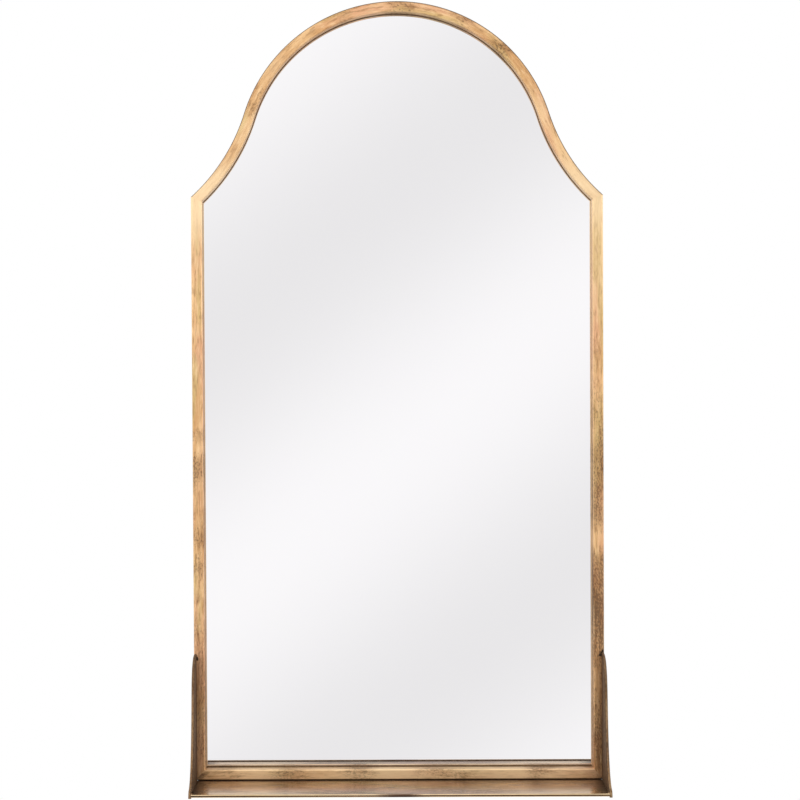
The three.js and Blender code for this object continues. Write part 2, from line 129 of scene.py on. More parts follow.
def arch_line(offset):
    """From the left shoulder over the crown to the right one, as (x, z), `offset` inside."""
    right = []
    for step in range(CROWN_STEPS + 1):
        angle = lerp(math.pi / 2, TURN_ANGLE, step / CROWN_STEPS)
        right.append(on_circle(CROWN_CENTRE, CROWN_RADIUS - offset, angle))
    for step in range(1, COVE_STEPS + 1):
        angle = lerp(TURN_ANGLE + math.pi, cove_end_angle(offset), step / COVE_STEPS)
        right.append(on_circle(COVE_CENTRE, COVE_RADIUS + offset, angle))
    left = [Vector((-point.x, point.y)) for point in right[:0:-1]]
    return left + right


def stile_top(offset):
    return on_circle(COVE_CENTRE, COVE_RADIUS + offset, cove_end_angle(offset)).y


def stile_line(sign):
    """A line up the left stile, -1, or the right one, 1, as a function of its offset."""
    steps = round((SHOULDER_Z - FOOT_Z) / STRAIGHT_STEP)

    def line(offset):
        side, foot, top = sign * (HALF_WIDTH - offset), FOOT_Z + offset, stile_top(offset)
        return [Vector((side, lerp(foot, top, step / steps))) for step in range(steps + 1)]

    return line


def rail_line(offset):
    side, height = HALF_WIDTH - offset, FOOT_Z + offset
    steps = round(2 * HALF_WIDTH / STRAIGHT_STEP)
    return [Vector((lerp(-side, side, step / steps), height)) for step in range(steps + 1)]


# ---- Meshes ----


def new_object(name, mesh):
    made = bpy.data.objects.new(name, mesh)
    bpy.context.scene.collection.objects.link(made)
    return made


def shade_smooth(mesh, angle=40):
    """Smooth faces, with every edge sharper than `angle` degrees left sharp."""
    mesh.shade_smooth()
    mesh.set_sharp_from_angle(angle=math.radians(angle))


def face_outward(mesh):
    work = bmesh.new()
    work.from_mesh(mesh)
    bmesh.ops.recalc_face_normals(work, faces=work.faces)
    work.to_mesh(mesh)
    work.free()


def put_values(mesh, name, values):
    """One number for each vertex, under a name that a material reads."""
    attribute = mesh.attributes.new(name, "FLOAT", "POINT")
    attribute.data.foreach_set("value", values)


def grid_mesh(name, rows, caps=True):
    """A skin over rings of points, with flat ends, or without `caps` joined end to end."""
    count = len(rows[0])
    vertices = [point for row in rows for point in row]
    faces = []
    for row in range(len(rows) - 1 if caps else len(rows)):
        for side in range(count):
            after = (side + 1) % count
            here, there = row * count, (row + 1) % len(rows) * count
            faces.append((here + side, here + after, there + after, there + side))
    if caps:
        last = (len(rows) - 1) * count
        faces.append(tuple(range(count)))
        faces.append(tuple(range(last + count - 1, last - 1, -1)))
    mesh = bpy.data.meshes.new(name)
    mesh.from_pydata(vertices, [], faces)
    return mesh


def put_bar_map(mesh, rows, start):
    """UV map "bar", in metres: how far along the bar, and how far around it."""
    count = len(rows[0])
    along = [start]
    for before, after in zip(rows, rows[1:]):
        along.append(along[-1] + (after[0] - before[0]).length)
    around = [0.0]
    for side in range(count):
        around.append(around[-1] + (rows[0][(side + 1) % count] - rows[0][side]).length)
    layer = mesh.uv_layers.new(name="bar")
    for polygon in mesh.polygons:
        sides = [mesh.loops[loop].vertex_index % count for loop in polygon.loop_indices]
        wraps = len(sides) == 4 and max(sides) - min(sides) == count - 1
        for loop, side in zip(polygon.loop_indices, sides):
            row = mesh.loops[loop].vertex_index // count
            turn = around[count] if wraps and side == 0 else around[side]
            layer.data[loop].uv = (along[row], turn)


def plate_mesh(name, outline, low, high, place, ease=0.3 * MM, cuts=()):
    """A flat plate of any outline with eased rims. `place` puts (a, b, height) in space.

    `cuts` are planes, each a point and a normal, where the faces are split for painted values.
    """
    work = bmesh.new()
    rims = [[work.verts.new(place(a, b, height)) for a, b in outline] for height in (low, high)]
    count = len(outline)
    lids = [work.faces.new(rim) for rim in rims]
    for side in range(count):
        after = (side + 1) % count
        work.faces.new((rims[0][side], rims[0][after], rims[1][after], rims[1][side]))
    bmesh.ops.recalc_face_normals(work, faces=work.faces)
    edges = [edge for lid in lids for edge in lid.edges]
    bmesh.ops.bevel(
        work, geom=edges, offset=ease, segments=2, profile=0.5, affect="EDGES",
        clamp_overlap=True,
    )
    for spot, normal in cuts:
        everything = [*work.verts, *work.edges, *work.faces]
        bmesh.ops.bisect_plane(work, geom=everything, plane_co=spot, plane_no=normal)
    mesh = bpy.data.meshes.new(name)
    work.to_mesh(mesh)
    work.free()
    return mesh


def turned_ring(radius, y, sides):
    """Points round the Y axis."""
    angles = [math.tau * side / sides for side in range(sides)]
    return [Vector((radius * math.cos(angle), y, radius * math.sin(angle))) for angle in angles]


def joined(name, meshes):
    """One mesh of several, which are removed with the objects that hold them."""
    work = bmesh.new()
    for mesh in meshes:
        work.from_mesh(mesh)
    mesh = bpy.data.meshes.new(name)
    work.to_mesh(mesh)
    work.free()
    for spent in meshes:
        bpy.data.meshes.remove(spent)
    return mesh


def hand_over(piece, mesh, body, nodes, material):
    """Gives a finished mesh its material and its place in the frame."""
    mesh.materials.clear()
    mesh.materials.append(material)
    made = new_object(piece, mesh)
    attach(made, body)
    if nodes:
        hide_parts(*nodes)


# ---- Node trees ----


class Value:
    """A node's output that takes part in Python expressions."""

    def __init__(self, tree, socket):
        self.tree = tree
        self.socket = socket

    def __add__(self, other):
        return self.tree.maths("ADD", self, other)

    def __sub__(self, other):
        return self.tree.maths("SUBTRACT", self, other)

    def __rsub__(self, other):
        return self.tree.maths("SUBTRACT", other, self)

    def __mul__(self, other):
        return self.tree.maths("MULTIPLY", self, other)

    def __truediv__(self, other):
        return self.tree.maths("DIVIDE", self, other)

    def __lt__(self, other):
        return self.tree.maths("LESS_THAN", self, other)

    __radd__ = __add__
    __rmul__ = __mul__

    def between(self, low, high):
        """0 at `low`, 1 at `high`, eased at both ends."""
        settings = {"interpolation_type": "SMOOTHSTEP"}
        sockets = {"Value": self, "From Min": low, "From Max": high}
        return self.tree.node("ShaderNodeMapRange", settings, sockets)


class Tree:
    """A node tree under construction."""

    def __init__(self, tree):
        self.tree = tree

    def node(self, kind, settings=None, sockets=None, output=0):
        """A new node: its settings first, then the values or links of its sockets."""
        made = self.tree.nodes.new(kind)
        for key, setting in (settings or {}).items():
            setattr(made, key, setting)
        for key, value in (sockets or {}).items():
            if isinstance(value, Value):
                self.tree.links.new(value.socket, made.inputs[key])
            else:
                made.inputs[key].default_value = value
        return Value(self, made.outputs[output]) if made.outputs else made

    def other(self, value, output):
        """Another output of the node that made `value`."""
        return Value(self, value.socket.node.outputs[output])

    def maths(self, operation, first, second=0.0):
        return self.node("ShaderNodeMath", {"operation": operation}, {0: first, 1: second})

    def vector(self, operation, first, second):
        return self.node("ShaderNodeVectorMath", {"operation": operation}, {0: first, 1: second})


class Finish(Tree):
    """A material with one principled shader."""

    def __init__(self, name, **constants):
        self.material = bpy.data.materials.new(name)
        self.material.use_nodes = True
        super().__init__(self.material.node_tree)
        self.tree.nodes.clear()
        self.shader = self.node("ShaderNodeBsdfPrincipled")
        self.node("ShaderNodeOutputMaterial", {}, {"Surface": self.shader})
        self.set(**constants)

    def set(self, **sockets):
        """Base_Color=..., Roughness=...: values or links of the shader's own sockets."""
        for key, value in sockets.items():
            target = self.shader.socket.node.inputs[key.replace("_", " ")]
            if isinstance(value, Value):
                self.tree.links.new(value.socket, target)
            else:
                target.default_value = value

    def place(self):
        """Where a point lies on the piece, in metres."""
        return self.node("ShaderNodeTexCoord", output="Object")

    def along_bar(self):
        return self.node("ShaderNodeUVMap", {"uv_map": "bar"})

    def painted(self, name):
        """A number that the mesh holds for each vertex."""
        return self.node("ShaderNodeAttribute", {"attribute_name": name}, output="Fac")

    def axis(self, place, axis):
        return self.node("ShaderNodeSeparateXYZ", {}, {0: place}, output=axis)

    def stretched(self, place, x, y, z):
        return self.vector("MULTIPLY", place, (x, y, z))

    def cloud(self, place, grain, detail=2.0, roughness=0.5, shift=0.0):
        """Soft noise from 0 to 1 with lumps about `grain` metres across."""
        moved = self.vector("ADD", place, (shift, 1.7 * shift, 0.6 * shift)) if shift else place
        sockets = {"Vector": moved, "Scale": 0.5 / grain, "Detail": detail, "Roughness": roughness}
        return self.node("ShaderNodeTexNoise", {}, sockets)

    def blend(self, share, first, second):
        """From colour `first` to colour `second`."""
        sockets = {0: share, 6: first, 7: second}
        return self.node("ShaderNodeMix", {"data_type": "RGBA"}, sockets, output=2)

    def bump(self, height, depth, strength=1.0):
        sockets = {"Height": height, "Distance": depth, "Strength": strength}
        self.set(Normal=self.node("ShaderNodeBump", {}, sockets))


class Build(Tree):
    """A geometry tree, run on a guide object and then turned into a plain mesh."""

    def __init__(self, name, **inputs):
        super().__init__(bpy.data.node_groups.new(name, "GeometryNodeTree"))
        kinds = {
            float: "Float", int: "Int", bpy.types.Material: "Material", bpy.types.Object: "Object",
        }
        self.new_socket("Geometry", "INPUT", "Geometry")
        self.values = {}
        for key, value in inputs.items():
            socket = self.new_socket(key, "INPUT", kinds[type(value)])
            self.values[socket.identifier] = value
        self.new_socket("Geometry", "OUTPUT", "Geometry")
        self.start = self.tree.nodes.new("NodeGroupInput")

    def new_socket(self, name, way, kind):
        return self.tree.interface.new_socket(name, in_out=way, socket_type=f"NodeSocket{kind}")

    def given(self, name):
        return Value(self, self.start.outputs[name])

    def chance(self, low, high, seed):
        """A random vector for each point."""
        settings = {"data_type": "FLOAT_VECTOR"}
        return self.node("FunctionNodeRandomValue", settings, {0: low, 1: high, "Seed": seed})

    def end(self, geometry):
        whole = self.node("GeometryNodeRealizeInstances", {}, {0: geometry})
        sockets = {"Geometry": whole, "Material": self.given("Finish")}
        covered = self.node("GeometryNodeSetMaterial", {}, sockets)
        self.node("NodeGroupOutput", {}, {0: covered})

    def run(self, name, guide):
        """The finished mesh, made from a guide mesh."""
        made = new_object(name, guide)
        modifier = made.modifiers.new("build", "NODES")
        modifier.node_group = self.tree
        for identifier, value in self.values.items():
            modifier[identifier] = value
        graph = bpy.context.evaluated_depsgraph_get()
        mesh = bpy.data.meshes.new_from_object(
            made.evaluated_get(graph), preserve_all_data_layers=True, depsgraph=graph
        )
        made.modifiers.clear()
        bpy.data.objects.remove(made)
        return mesh


# ---- Finishes ----

# Colours are red, green, blue and alpha, in linear light.
# Pale rubbed gold, which also serves as a painted highlight.
RUBBED_HIGHLIGHT_GOLD = (1.0, 0.76, 0.47, 1)
UMBER = (0.075, 0.04, 0.02, 1)
RED_UMBER = (0.13, 0.045, 0.022, 1)
BRIGHT_TONES = {
    "pale": (0.98, 0.69, 0.40, 1), "light": (0.87, 0.56, 0.28, 1),
    "deep": (0.70, 0.39, 0.17, 1), "rose": (0.80, 0.43, 0.25, 1),
    "olive": (0.60, 0.45, 0.17, 1), "browned": (0.35, 0.18, 0.08, 1),
}
# A shaded copy of the same tones: painted shade for the shelf floor.
SHADED_TONES = {
    "pale": (0.62, 0.43, 0.28, 1), "light": (0.44, 0.28, 0.165, 1),
    "deep": (0.30, 0.18, 0.10, 1), "rose": (0.40, 0.22, 0.15, 1),
    "olive": (0.29, 0.23, 0.09, 1), "browned": (0.13, 0.078, 0.038, 1),
}


def antique_gold(name, tones, along_bar=True, worn=0.0, roughness=0.4, flow=(0.3, 1, 1)):
    """Rubbed gold over brown: soft clouds of tint, streaks, speckled patches, edges rubbed bright
    with a painted highlight, and painted highlight and painted shade where the mesh holds them.

    `worn` adds to the patches everywhere, and `flow` shortens the axis that streaks run along.
    """
    finish = Finish(name)
    place = finish.along_bar() if along_bar else finish.place()
    run = finish.stretched(place, *flow)

    warmth = finish.cloud(run, 24 * MM, 3, shift=1.3)
    depth = finish.cloud(run, 16 * MM, 3, shift=5.1)
    age = finish.cloud(run, 20 * MM, 2, shift=8.7)
    gold = finish.blend(depth.between(0.38, 0.62), tones["light"], tones["deep"])
    gold = finish.blend(warmth.between(0.48, 0.64) * 0.8, gold, tones["rose"])
    gold = finish.blend(age.between(0.52, 0.66) * 0.6, gold, tones["olive"])

    mottle = finish.cloud(finish.stretched(run, 0.8, 1, 1), 2.4 * MM, 3, 0.6, shift=6.6)
    streaks = finish.cloud(finish.stretched(run, 0.35, 1, 1), 1.6 * MM, 3, 0.6, shift=2.2)
    gold = finish.blend(mottle.between(0.46, 0.34) * 0.5, gold, tones["pale"])
    gold = finish.blend(mottle.between(0.52, 0.64) * 0.55, gold, tones["browned"])
    gold = finish.blend(streaks.between(0.5, 0.7) * 0.4, gold, tones["pale"])
    gold = finish.blend(streaks.between(0.48, 0.32) * 0.35, gold, tones["browned"])

    # Paler rubbed gold and painted highlight, where the mesh holds them.
    rub_and_highlight = finish.painted("rub_and_highlight")
    gold = finish.blend(rub_and_highlight * (1.15 - mottle * 0.5), gold, RUBBED_HIGHLIGHT_GOLD)

    patches = finish.cloud(run, 16 * MM, 3, 0.55, shift=11.9)
    # Patina, partly painted shade: the mesh holds more of it low on the stiles, inside the cheeks
    # and on the darker stops.
    patina_and_shade = finish.painted("patina_and_shade")
    patch = (patina_and_shade * 1.15 + (patches - 0.5) * 1.7 - rub_and_highlight * 0.8 + worn).between(0.05, 0.85)
    specks = finish.cloud(finish.vector("ADD", place, run), 2.7 * MM, 4, 0.7, shift=3.4)
    speck = (specks + (patches - 0.5) * 0.35 + patina_and_shade * 0.08).between(0.57, 0.66) * patch
    brown = finish.blend(warmth.between(0.45, 0.6), UMBER, RED_UMBER)
    blotch = (mottle * 0.6 + patches * 0.6).between(0.54, 0.68) * patch
    gold = finish.blend(patch * patina_and_shade * 0.36, gold, tones["browned"])
    gold = finish.blend(blotch * 0.45, gold, tones["browned"])
    gold = finish.blend(speck * 0.6, gold, brown)

    # Edges rubbed bright: wear, and also a painted highlight along the rounded edges.
    edge = finish.painted("edge")
    rubbed_and_highlit = edge * depth.between(0.62, 0.4)
    gold = finish.blend(rubbed_and_highlit * 0.5, gold, tones["pale"])

    # Painted shade in corners, creases and recesses, with grime, darker in speckles.
    shade_and_grime = finish.painted("shade_and_grime")
    darkening = shade_and_grime * (0.7 + specks * 0.5)
    gold = finish.blend(darkening, gold, UMBER)

    finish.set(
        Base_Color=gold,
        Metallic=0.92 - speck * 0.35 - darkening * 0.3,
        Roughness=roughness + patch * 0.1 + speck * 0.12 + streaks * 0.06 + darkening * 0.2,
    )
    finish.bump(specks * patch * -0.6 + streaks * 0.3 + mottle * 0.3, 0.12 * MM, 0.4)
    return finish.material


def silvered_glass():
    """A mirror: very slight clouds in the silver and a breath of dust."""
    finish = Finish("silvered_glass", Metallic=1.0, Specular_IOR_Level=0.5)
    spot = finish.place()
    haze = finish.cloud(spot, 90 * MM, 3)
    dust = finish.cloud(spot, 3 * MM, 3, 0.6)
    silver = finish.blend(haze, (0.935, 0.922, 0.938, 1), (0.945, 0.934, 0.947, 1))
    finish.set(Base_Color=silver, Roughness=0.008 + dust.between(0.5, 0.9) * 0.02)
    return finish.material


def fibreboard():
    """Hardboard: matted brown fibres, with the weave of the press screen on its back."""
    finish = Finish("backing_fibreboard", Metallic=0.0)
    spot = finish.place()
    mottle = finish.cloud(spot, 40 * MM, 4)
    fibres = finish.cloud(finish.stretched(spot, 1, 1, 0.25), 0.9 * MM, 4, 0.7)
    flecks = finish.cloud(finish.stretched(spot, 0.3, 1, 1), 1.6 * MM, 3, 0.7, shift=4.0)
    board = finish.blend(mottle, (0.25, 0.145, 0.075, 1), (0.35, 0.215, 0.115, 1))
    board = finish.blend(fibres.between(0.5, 0.75) * 0.55, board, (0.50, 0.34, 0.19, 1))
    board = finish.blend(flecks.between(0.6, 0.72) * 0.6, board, (0.12, 0.06, 0.03, 1))
    wires = []
    for way in "XZ":
        sockets = {"Vector": spot, "Scale": 150.0, "Distortion": 0.6}
        wires.append(finish.node("ShaderNodeTexWave", {"bands_direction": way}, sockets))
    screen = finish.maths("MINIMUM", *wires)
    finish.set(Base_Color=board, Roughness=0.78 + fibres * 0.15)
    finish.bump(screen * 0.6 + fibres * 0.6, 0.25 * MM, 0.6)
    return finish.material


def zinc():
    """Bright zinc plate with faint yellow and blue tints, rolled lines and scuffs."""
    finish = Finish("zinc_hardware", Metallic=1.0)
    spot = finish.place()
    tint = finish.cloud(spot, 6 * MM, 3)
    lines = finish.cloud(finish.stretched(spot, 1, 1, 0.12), 0.35 * MM, 3, 0.6)
    scuffs = finish.cloud(spot, 2.2 * MM, 4, 0.65, shift=3.0)
    steel = finish.blend(tint.between(0.35, 0.65), (0.43, 0.44, 0.46, 1), (0.50, 0.46, 0.37, 1))
    steel = finish.blend(scuffs.between(0.55, 0.75) * 0.5, steel, (0.22, 0.215, 0.21, 1))
    finish.set(Base_Color=steel, Roughness=0.27 + scuffs * 0.16 + lines * 0.08)
    finish.bump(lines, 0.03 * MM, 0.5)
    return finish.material


def rubber():
    """Moulded black rubber, dull, with a trace of dust."""
    finish = Finish("bumper_rubber", Metallic=0.0)
    spot = finish.place()
    grain = finish.cloud(spot, 0.35 * MM, 3, 0.6)
    dust = finish.cloud(spot, 2.5 * MM, 4, 0.6, shift=2.0)
    dusty = (0.075, 0.07, 0.064, 1)
    black = finish.blend(dust.between(0.5, 0.8) * 0.6, (0.022, 0.021, 0.02, 1), dusty)
    finish.set(Base_Color=black, Roughness=0.62 + dust * 0.25)
    finish.bump(grain, 0.05 * MM, 0.6)
    return finish.material


def packing_paper():
    """Soft white packing paper with small cells."""
    finish = Finish("cushion_paper", Metallic=0.0)
    spot = finish.place()
    cells = finish.cloud(spot, 0.8 * MM, 3, 0.6)
    paper = finish.blend(cells, (0.74, 0.72, 0.67, 1), (0.86, 0.84, 0.80, 1))
    finish.set(Base_Color=paper, Roughness=0.85 + cells * 0.1)
    finish.bump(cells, 0.1 * MM, 0.5)
    return finish.material


def burnt_weld():
    """A weld bead left rough under thin gold: nearly black in its hollows."""
    finish = Finish("burnt_weld", Metallic=0.7)
    spot = finish.place()
    scale = finish.cloud(spot, 0.8 * MM, 3, 0.6)
    dark = finish.blend(scale.between(0.4, 0.65), (0.02, 0.012, 0.007, 1), (0.11, 0.065, 0.03, 1))
    dark = finish.blend(scale.between(0.66, 0.8) * 0.7, dark, (0.36, 0.22, 0.10, 1))
    finish.set(Base_Color=dark, Roughness=0.5 + scale * 0.25)
    finish.bump(scale, 0.2 * MM, 0.7)
    return finish.material


GOLD_BAR = antique_gold("antique_gold_bar", BRIGHT_TONES)
GOLD_CHEEK = antique_gold(
    "antique_gold_cheek", BRIGHT_TONES, along_bar=False, worn=0.1, roughness=0.36, flow=(1, 1, 0.3)
)
# The shelf floor takes the shaded tones: painted shade.
GOLD_FLOOR = antique_gold("antique_gold_floor", SHADED_TONES, along_bar=False, roughness=0.17)
GLASS = silvered_glass()
BOARD = fibreboard()
ZINC = zinc()
RUBBER = rubber()
PAPER = packing_paper()
WELD = burnt_weld()

# ---- Frame bars ----


def tube_section():
    """Points round the tube: offset from the outline, y, and how much the edge there is rubbed
    bright and given a painted highlight.
    """
    points = []
    near, far = BAR_ROUNDING, BAR_FACE - BAR_ROUNDING
    front, back = FRONT_Y + BAR_ROUNDING, BACK_Y - BAR_ROUNDING
    shoulder = 0.35 * MM  # keeps the shading of the flats flat
    steps = 5
    corners = (near, front, 180), (far, front, 270), (far, back, 0), (near, back, 90)
    for offset, y, start in corners:
        arc = []
        for step in range(steps + 1):
            angle = math.radians(start + 90 * step / steps)
            across, deep = BAR_ROUNDING * math.cos(angle), BAR_ROUNDING * math.sin(angle)
            arc.append((offset + across, y + deep, math.sin(math.pi * step / steps)))
        turn = math.radians(start)
        over, down = shoulder * math.sin(turn), shoulder * math.cos(turn)
        before = (arc[0][0] + over, arc[0][1] - down, 0.0)
        after = (arc[-1][0] - down, arc[-1][1] - over, 0.0)
        points += [before, *arc, after]
        if start == 270:  # down the side that faces the glass, for the painted shade in its corner
            for above in (7 * MM, 4 * MM, 1.5 * MM, 0.0):
                points.append((BAR_FACE, STOP_FRONT_Y - above, 0.0))
    return points


SECTION = tube_section()


def bar_rows(line, section):
    """Rings of points along a bar: one line for each point of the section."""
    lines = [line(offset) for offset, y, edge_brightening in section]
    depths = [y for offset, y, edge_brightening in section]
    return [
        [Vector((point.x, y, point.y)) for point, y in zip(points, depths)]
        for points in zip(*lines)
    ]


def patches_at(patches, place):
    """Sum of soft patches, each (middle, half length, strength), at a place along a bar."""
    return sum(
        strength * math.exp(-(((place - middle) / half) ** 2))
        for middle, half, strength in patches
    )


def frame_bar(name, node, line, start, patches, rubs_and_highlights, corner_shade, rim_shade, place_of):
    """A bar of the frame. Its patches of patina and of rubbed gold with painted highlight lie where
    `place_of` a point says.

    `start` is where its map begins, so that no two bars show the same streaks. Two numbers set
    the painted shade in the corner with the glass and along the outer front edge.
    """
    rows = bar_rows(line, SECTION)
    mesh = grid_mesh(name, rows)
    put_bar_map(mesh, rows, start)
    values = {"edge": [], "patina_and_shade": [], "rub_and_highlight": [], "shade_and_grime": []}
    for row in rows:
        for (offset, y, edge_brightening), point in zip(SECTION, row):
            values["edge"].append(edge_brightening)
            values["patina_and_shade"].append(patches_at(patches, place_of(point)))
            values["rub_and_highlight"].append(patches_at(rubs_and_highlights, place_of(point)))
            # Painted shade: in the corner with the glass, along the outer front edge (on the rail
            # where it meets the shelf), and beside the cheeks.
            corner = 0.0
            if offset >= BAR_FACE:
                corner = 0.3 + 0.7 * smooth(STOP_FRONT_Y - 7 * MM, STOP_FRONT_Y, y)
            rim = smooth(2.0 * MM, 0.9 * MM, offset) if y <= FRONT_Y + BAR_ROUNDING else 0.0
            beside = shade_beside_cheek(point) if offset < BAR_FACE / 2 and y <= FRONT_Y else 0.0
            values["shade_and_grime"].append(max(corner_shade * corner, rim_shade * rim, beside))
    for key, numbers in values.items():
        put_values(mesh, key, numbers)
    face_outward(mesh)
    shade_smooth(mesh)
    hand_over(name, mesh, "mirror_frame", [node], GOLD_BAR)


# Patches of patina and of bright rubbed gold, listed one by one. The rubbed gold on the shoulders
# and the tops of the stiles is also a painted highlight, and the broad patina patches low on the
# stiles, most on the right, are also painted shade. On the arch the middle and half length
# are degrees from the top, clockwise; on the stiles millimetres above the foot; on the rail
# millimetres right of the middle.
ARCH_PATCHES = [
    (-92, 6, 0.1), (-70, 4, 0.35), (-62, 3, 0.35), (-47, 4, 0.25), (-20, 5, 0.3), (0, 6, 0.8),
    (6, 4, 0.5), (15, 4, 0.3), (26, 6, 0.6), (44, 5, 0.75), (63, 4, 0.55), (80, 6, 0.25),
]
ARCH_RUBS_AND_HIGHLIGHTS = [(-98, 9, 0.9), (98, 9, 0.85), (-78, 6, 0.35), (-52, 7, 0.3), (70, 7, 0.3)]
LEFT_PATCHES = [
    (751, 14, 0.1), (697, 24, 0.2), (516, 14, 0.6), (467, 18, 1.5), (439, 9, 0.3),
    (401, 12, 0.35), (364, 18, 0.8), (317, 14, 0.8), (269, 8, 0.3), (220, 24, 0.4), (90, 90, 0.95),
]
LEFT_RUBS_AND_HIGHLIGHTS = [(850, 55, 0.95), (600, 50, 0.15)]
RIGHT_PATCHES = [
    (812, 12, 0.2), (650, 24, 0.1), (550, 60, 0.7), (483, 20, 1.0), (434, 40, 1.3),
    (391, 20, 1.1), (318, 22, 0.8), (247, 60, 2.2), (88, 60, 1.2),
]
RIGHT_RUBS_AND_HIGHLIGHTS = [(852, 40, 0.8), (740, 60, 0.25)]
RAIL_PATCHES = [
    (-303, 9, 1.2), (-250, 24, 0.8), (-165, 45, 1.0), (-60, 35, 0.9), (60, 90, 1.0),
    (210, 40, 0.9), (285, 15, 0.7), (303, 9, 1.2),
]
RAIL_RUBS_AND_HIGHLIGHTS = [(-215, 60, 0.65), (-20, 110, 0.95), (190, 100, 0.85)]


def degrees_from_top(point):
    return math.degrees(math.atan2(point.x, point.z - CROWN_CENTRE.y))


def height_of(point):
    return (point.z - FOOT_Z) / MM


def shade_beside_cheek(point):
    """Painted shade in the corner between a stile and a cheek, fading across the stile's face."""
    beside = abs(point.x) > HALF_WIDTH - BAR_FACE / 2
    return 0.4 * smooth(190, 165, height_of(point)) if beside else 0.0


def make_frame_bars():
    frame_bar(
        "arch_bar", "frame_arch", arch_line, 0.0, ARCH_PATCHES, ARCH_RUBS_AND_HIGHLIGHTS,
        corner_shade=0.5, rim_shade=0.85, place_of=degrees_from_top,
    )
    frame_bar(
        "stile_bar_left", "frame_stile_left", stile_line(-1), 1.5, LEFT_PATCHES, LEFT_RUBS_AND_HIGHLIGHTS,
        corner_shade=0.4, rim_shade=0.0, place_of=height_of,
    )
    frame_bar(
        "stile_bar_right", "frame_stile_right", stile_line(1), 3.5, RIGHT_PATCHES, RIGHT_RUBS_AND_HIGHLIGHTS,
        corner_shade=0.25, rim_shade=0.0, place_of=height_of,
    )
    frame_bar(
        "bottom_rail_bar", "frame_bottom_rail", rail_line, 5.5, RAIL_PATCHES, RAIL_RUBS_AND_HIGHLIGHTS,
        corner_shade=0.55, rim_shade=1.0, place_of=lambda point: point.x / MM,
    )


# ---- Glass stops ----


def stop_section(width):
    """A small bar against the tube's inner side, its free front edge eased."""
    near, far = BAR_FACE, BAR_FACE + width
    ease = 0.4 * MM
    return [
        (near, STOP_FRONT_Y, 0.0), (far - ease, STOP_FRONT_Y, 0.0),
        (far - ease / 3, STOP_FRONT_Y + ease / 3, 1.0), (far, STOP_FRONT_Y + ease, 0.0),
        (far, GLASS_Y, 0.0), (near, GLASS_Y, 0.0),
    ]


def make_glass_stops():
    """Four strips. The one at the foot shows its whole width, the others half of it."""
    half = STOP_WIDTH / 2
    stops = {  # its line, its width and how much painted shade it has
        "arch": (arch_line, half, 0.9),
        "foot": (rail_line, STOP_WIDTH, 0.85),
        "left": (stile_line(-1), half, 0.4),
        "right": (stile_line(1), half, 0.35),
    }
    for where, (line, width, darkening) in stops.items():
        rows = bar_rows(line, stop_section(width))
        mesh = grid_mesh(f"stop_{where}", rows)
        put_bar_map(mesh, rows, 7.0)
        # Painted shade on the stop; the darker ones get more patina and less rubbed gold and
        # painted highlight.
        values = {"edge": 0.0, "patina_and_shade": 0.5 * darkening, "shade_and_grime": darkening, "rub_and_highlight": 1.0 - darkening}
        for key, number in values.items():
            put_values(mesh, key, [number] * len(mesh.vertices))
        face_outward(mesh)
        shade_smooth(mesh)
        nodes = [f"glass_stop_{where}"]
        hand_over(f"stop_{where}", mesh, "mirror_frame", nodes, GOLD_BAR)


# ---- Glazing ----


def opening_outline(inset):
    """The whole opening `inset` inside the outer edge, as (x, z) pairs."""
    foot = FOOT_Z + inset
    side = HALF_WIDTH - inset
    return [(point.x, point.y) for point in arch_line(inset)] + [(side, foot), (-side, foot)]


def make_glazing():
    """Glass and cushion sheet keep their shapes; the board gets eased rims."""
    for node, material in (("mirror_glass", GLASS), ("cushion_sheet", PAPER)):
        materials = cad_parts[node].data.materials
        materials.clear()
        materials.append(material)
    board_low, board_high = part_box("backing_board")
    inset = HALF_WIDTH - board_high.x
    mesh = plate_mesh(
        "fibre_board", opening_outline(inset), board_low.y, board_high.y,
        lambda x, z, y: Vector((x, y, z)), ease=0.5 * MM,
    )
    shade_smooth(mesh)
    hand_over("fibre_board", mesh, "mirror_frame", ["backing_board"], BOARD)


# ---- Shelf ----


def bezier(points, steps):
    """Points of a cubic or quadratic curve, both ends included."""
    degree = len(points) - 1
    made = []
    for step in range(steps + 1):
        share = step / steps
        place = Vector((0, 0))
        for turn, point in enumerate(points):
            weight = math.comb(degree, turn) * (1 - share) ** (degree - turn) * share**turn
            place += weight * point
        made.append(place)
    return made


def cheek_path():
    """Middle line of a cheek's rolled edge, from the stile to the toe, as (y, z)."""

    def point(forward, up):
        return Vector((FRONT_Y - forward, FOOT_Z + up))

    front = FRONT_Y - SHELF_FRONT_Y - HEM_RADIUS
    drop = CHEEK_HEIGHT - CHEEK_WAIST_HEIGHT
    waist = point(CHEEK_WAIST, CHEEK_WAIST_HEIGHT)
    toe = point(front - CHEEK_TOE_LENGTH, CHEEK_TOE_HEIGHT)
    shoulder = [
        point(0, CHEEK_HEIGHT), point(0.54 * CHEEK_WAIST, CHEEK_HEIGHT),
        point(0.9 * CHEEK_WAIST, CHEEK_WAIST_HEIGHT + 0.62 * drop), waist,
    ]
    sweep = [
        waist, point(1.12 * CHEEK_WAIST, 0.79 * CHEEK_WAIST_HEIGHT),
        point(0.52 * front, 0.12 * CHEEK_WAIST_HEIGHT), toe,
    ]
    end = UNDERSIDE_Z - FOOT_Z + 0.1 * MM
    turn = [toe, point(front, 0.65 * CHEEK_TOE_HEIGHT), point(front, end)]
    return bezier(shoulder, 28) + bezier(sweep, 46)[1:] + bezier(turn, 12)[1:]


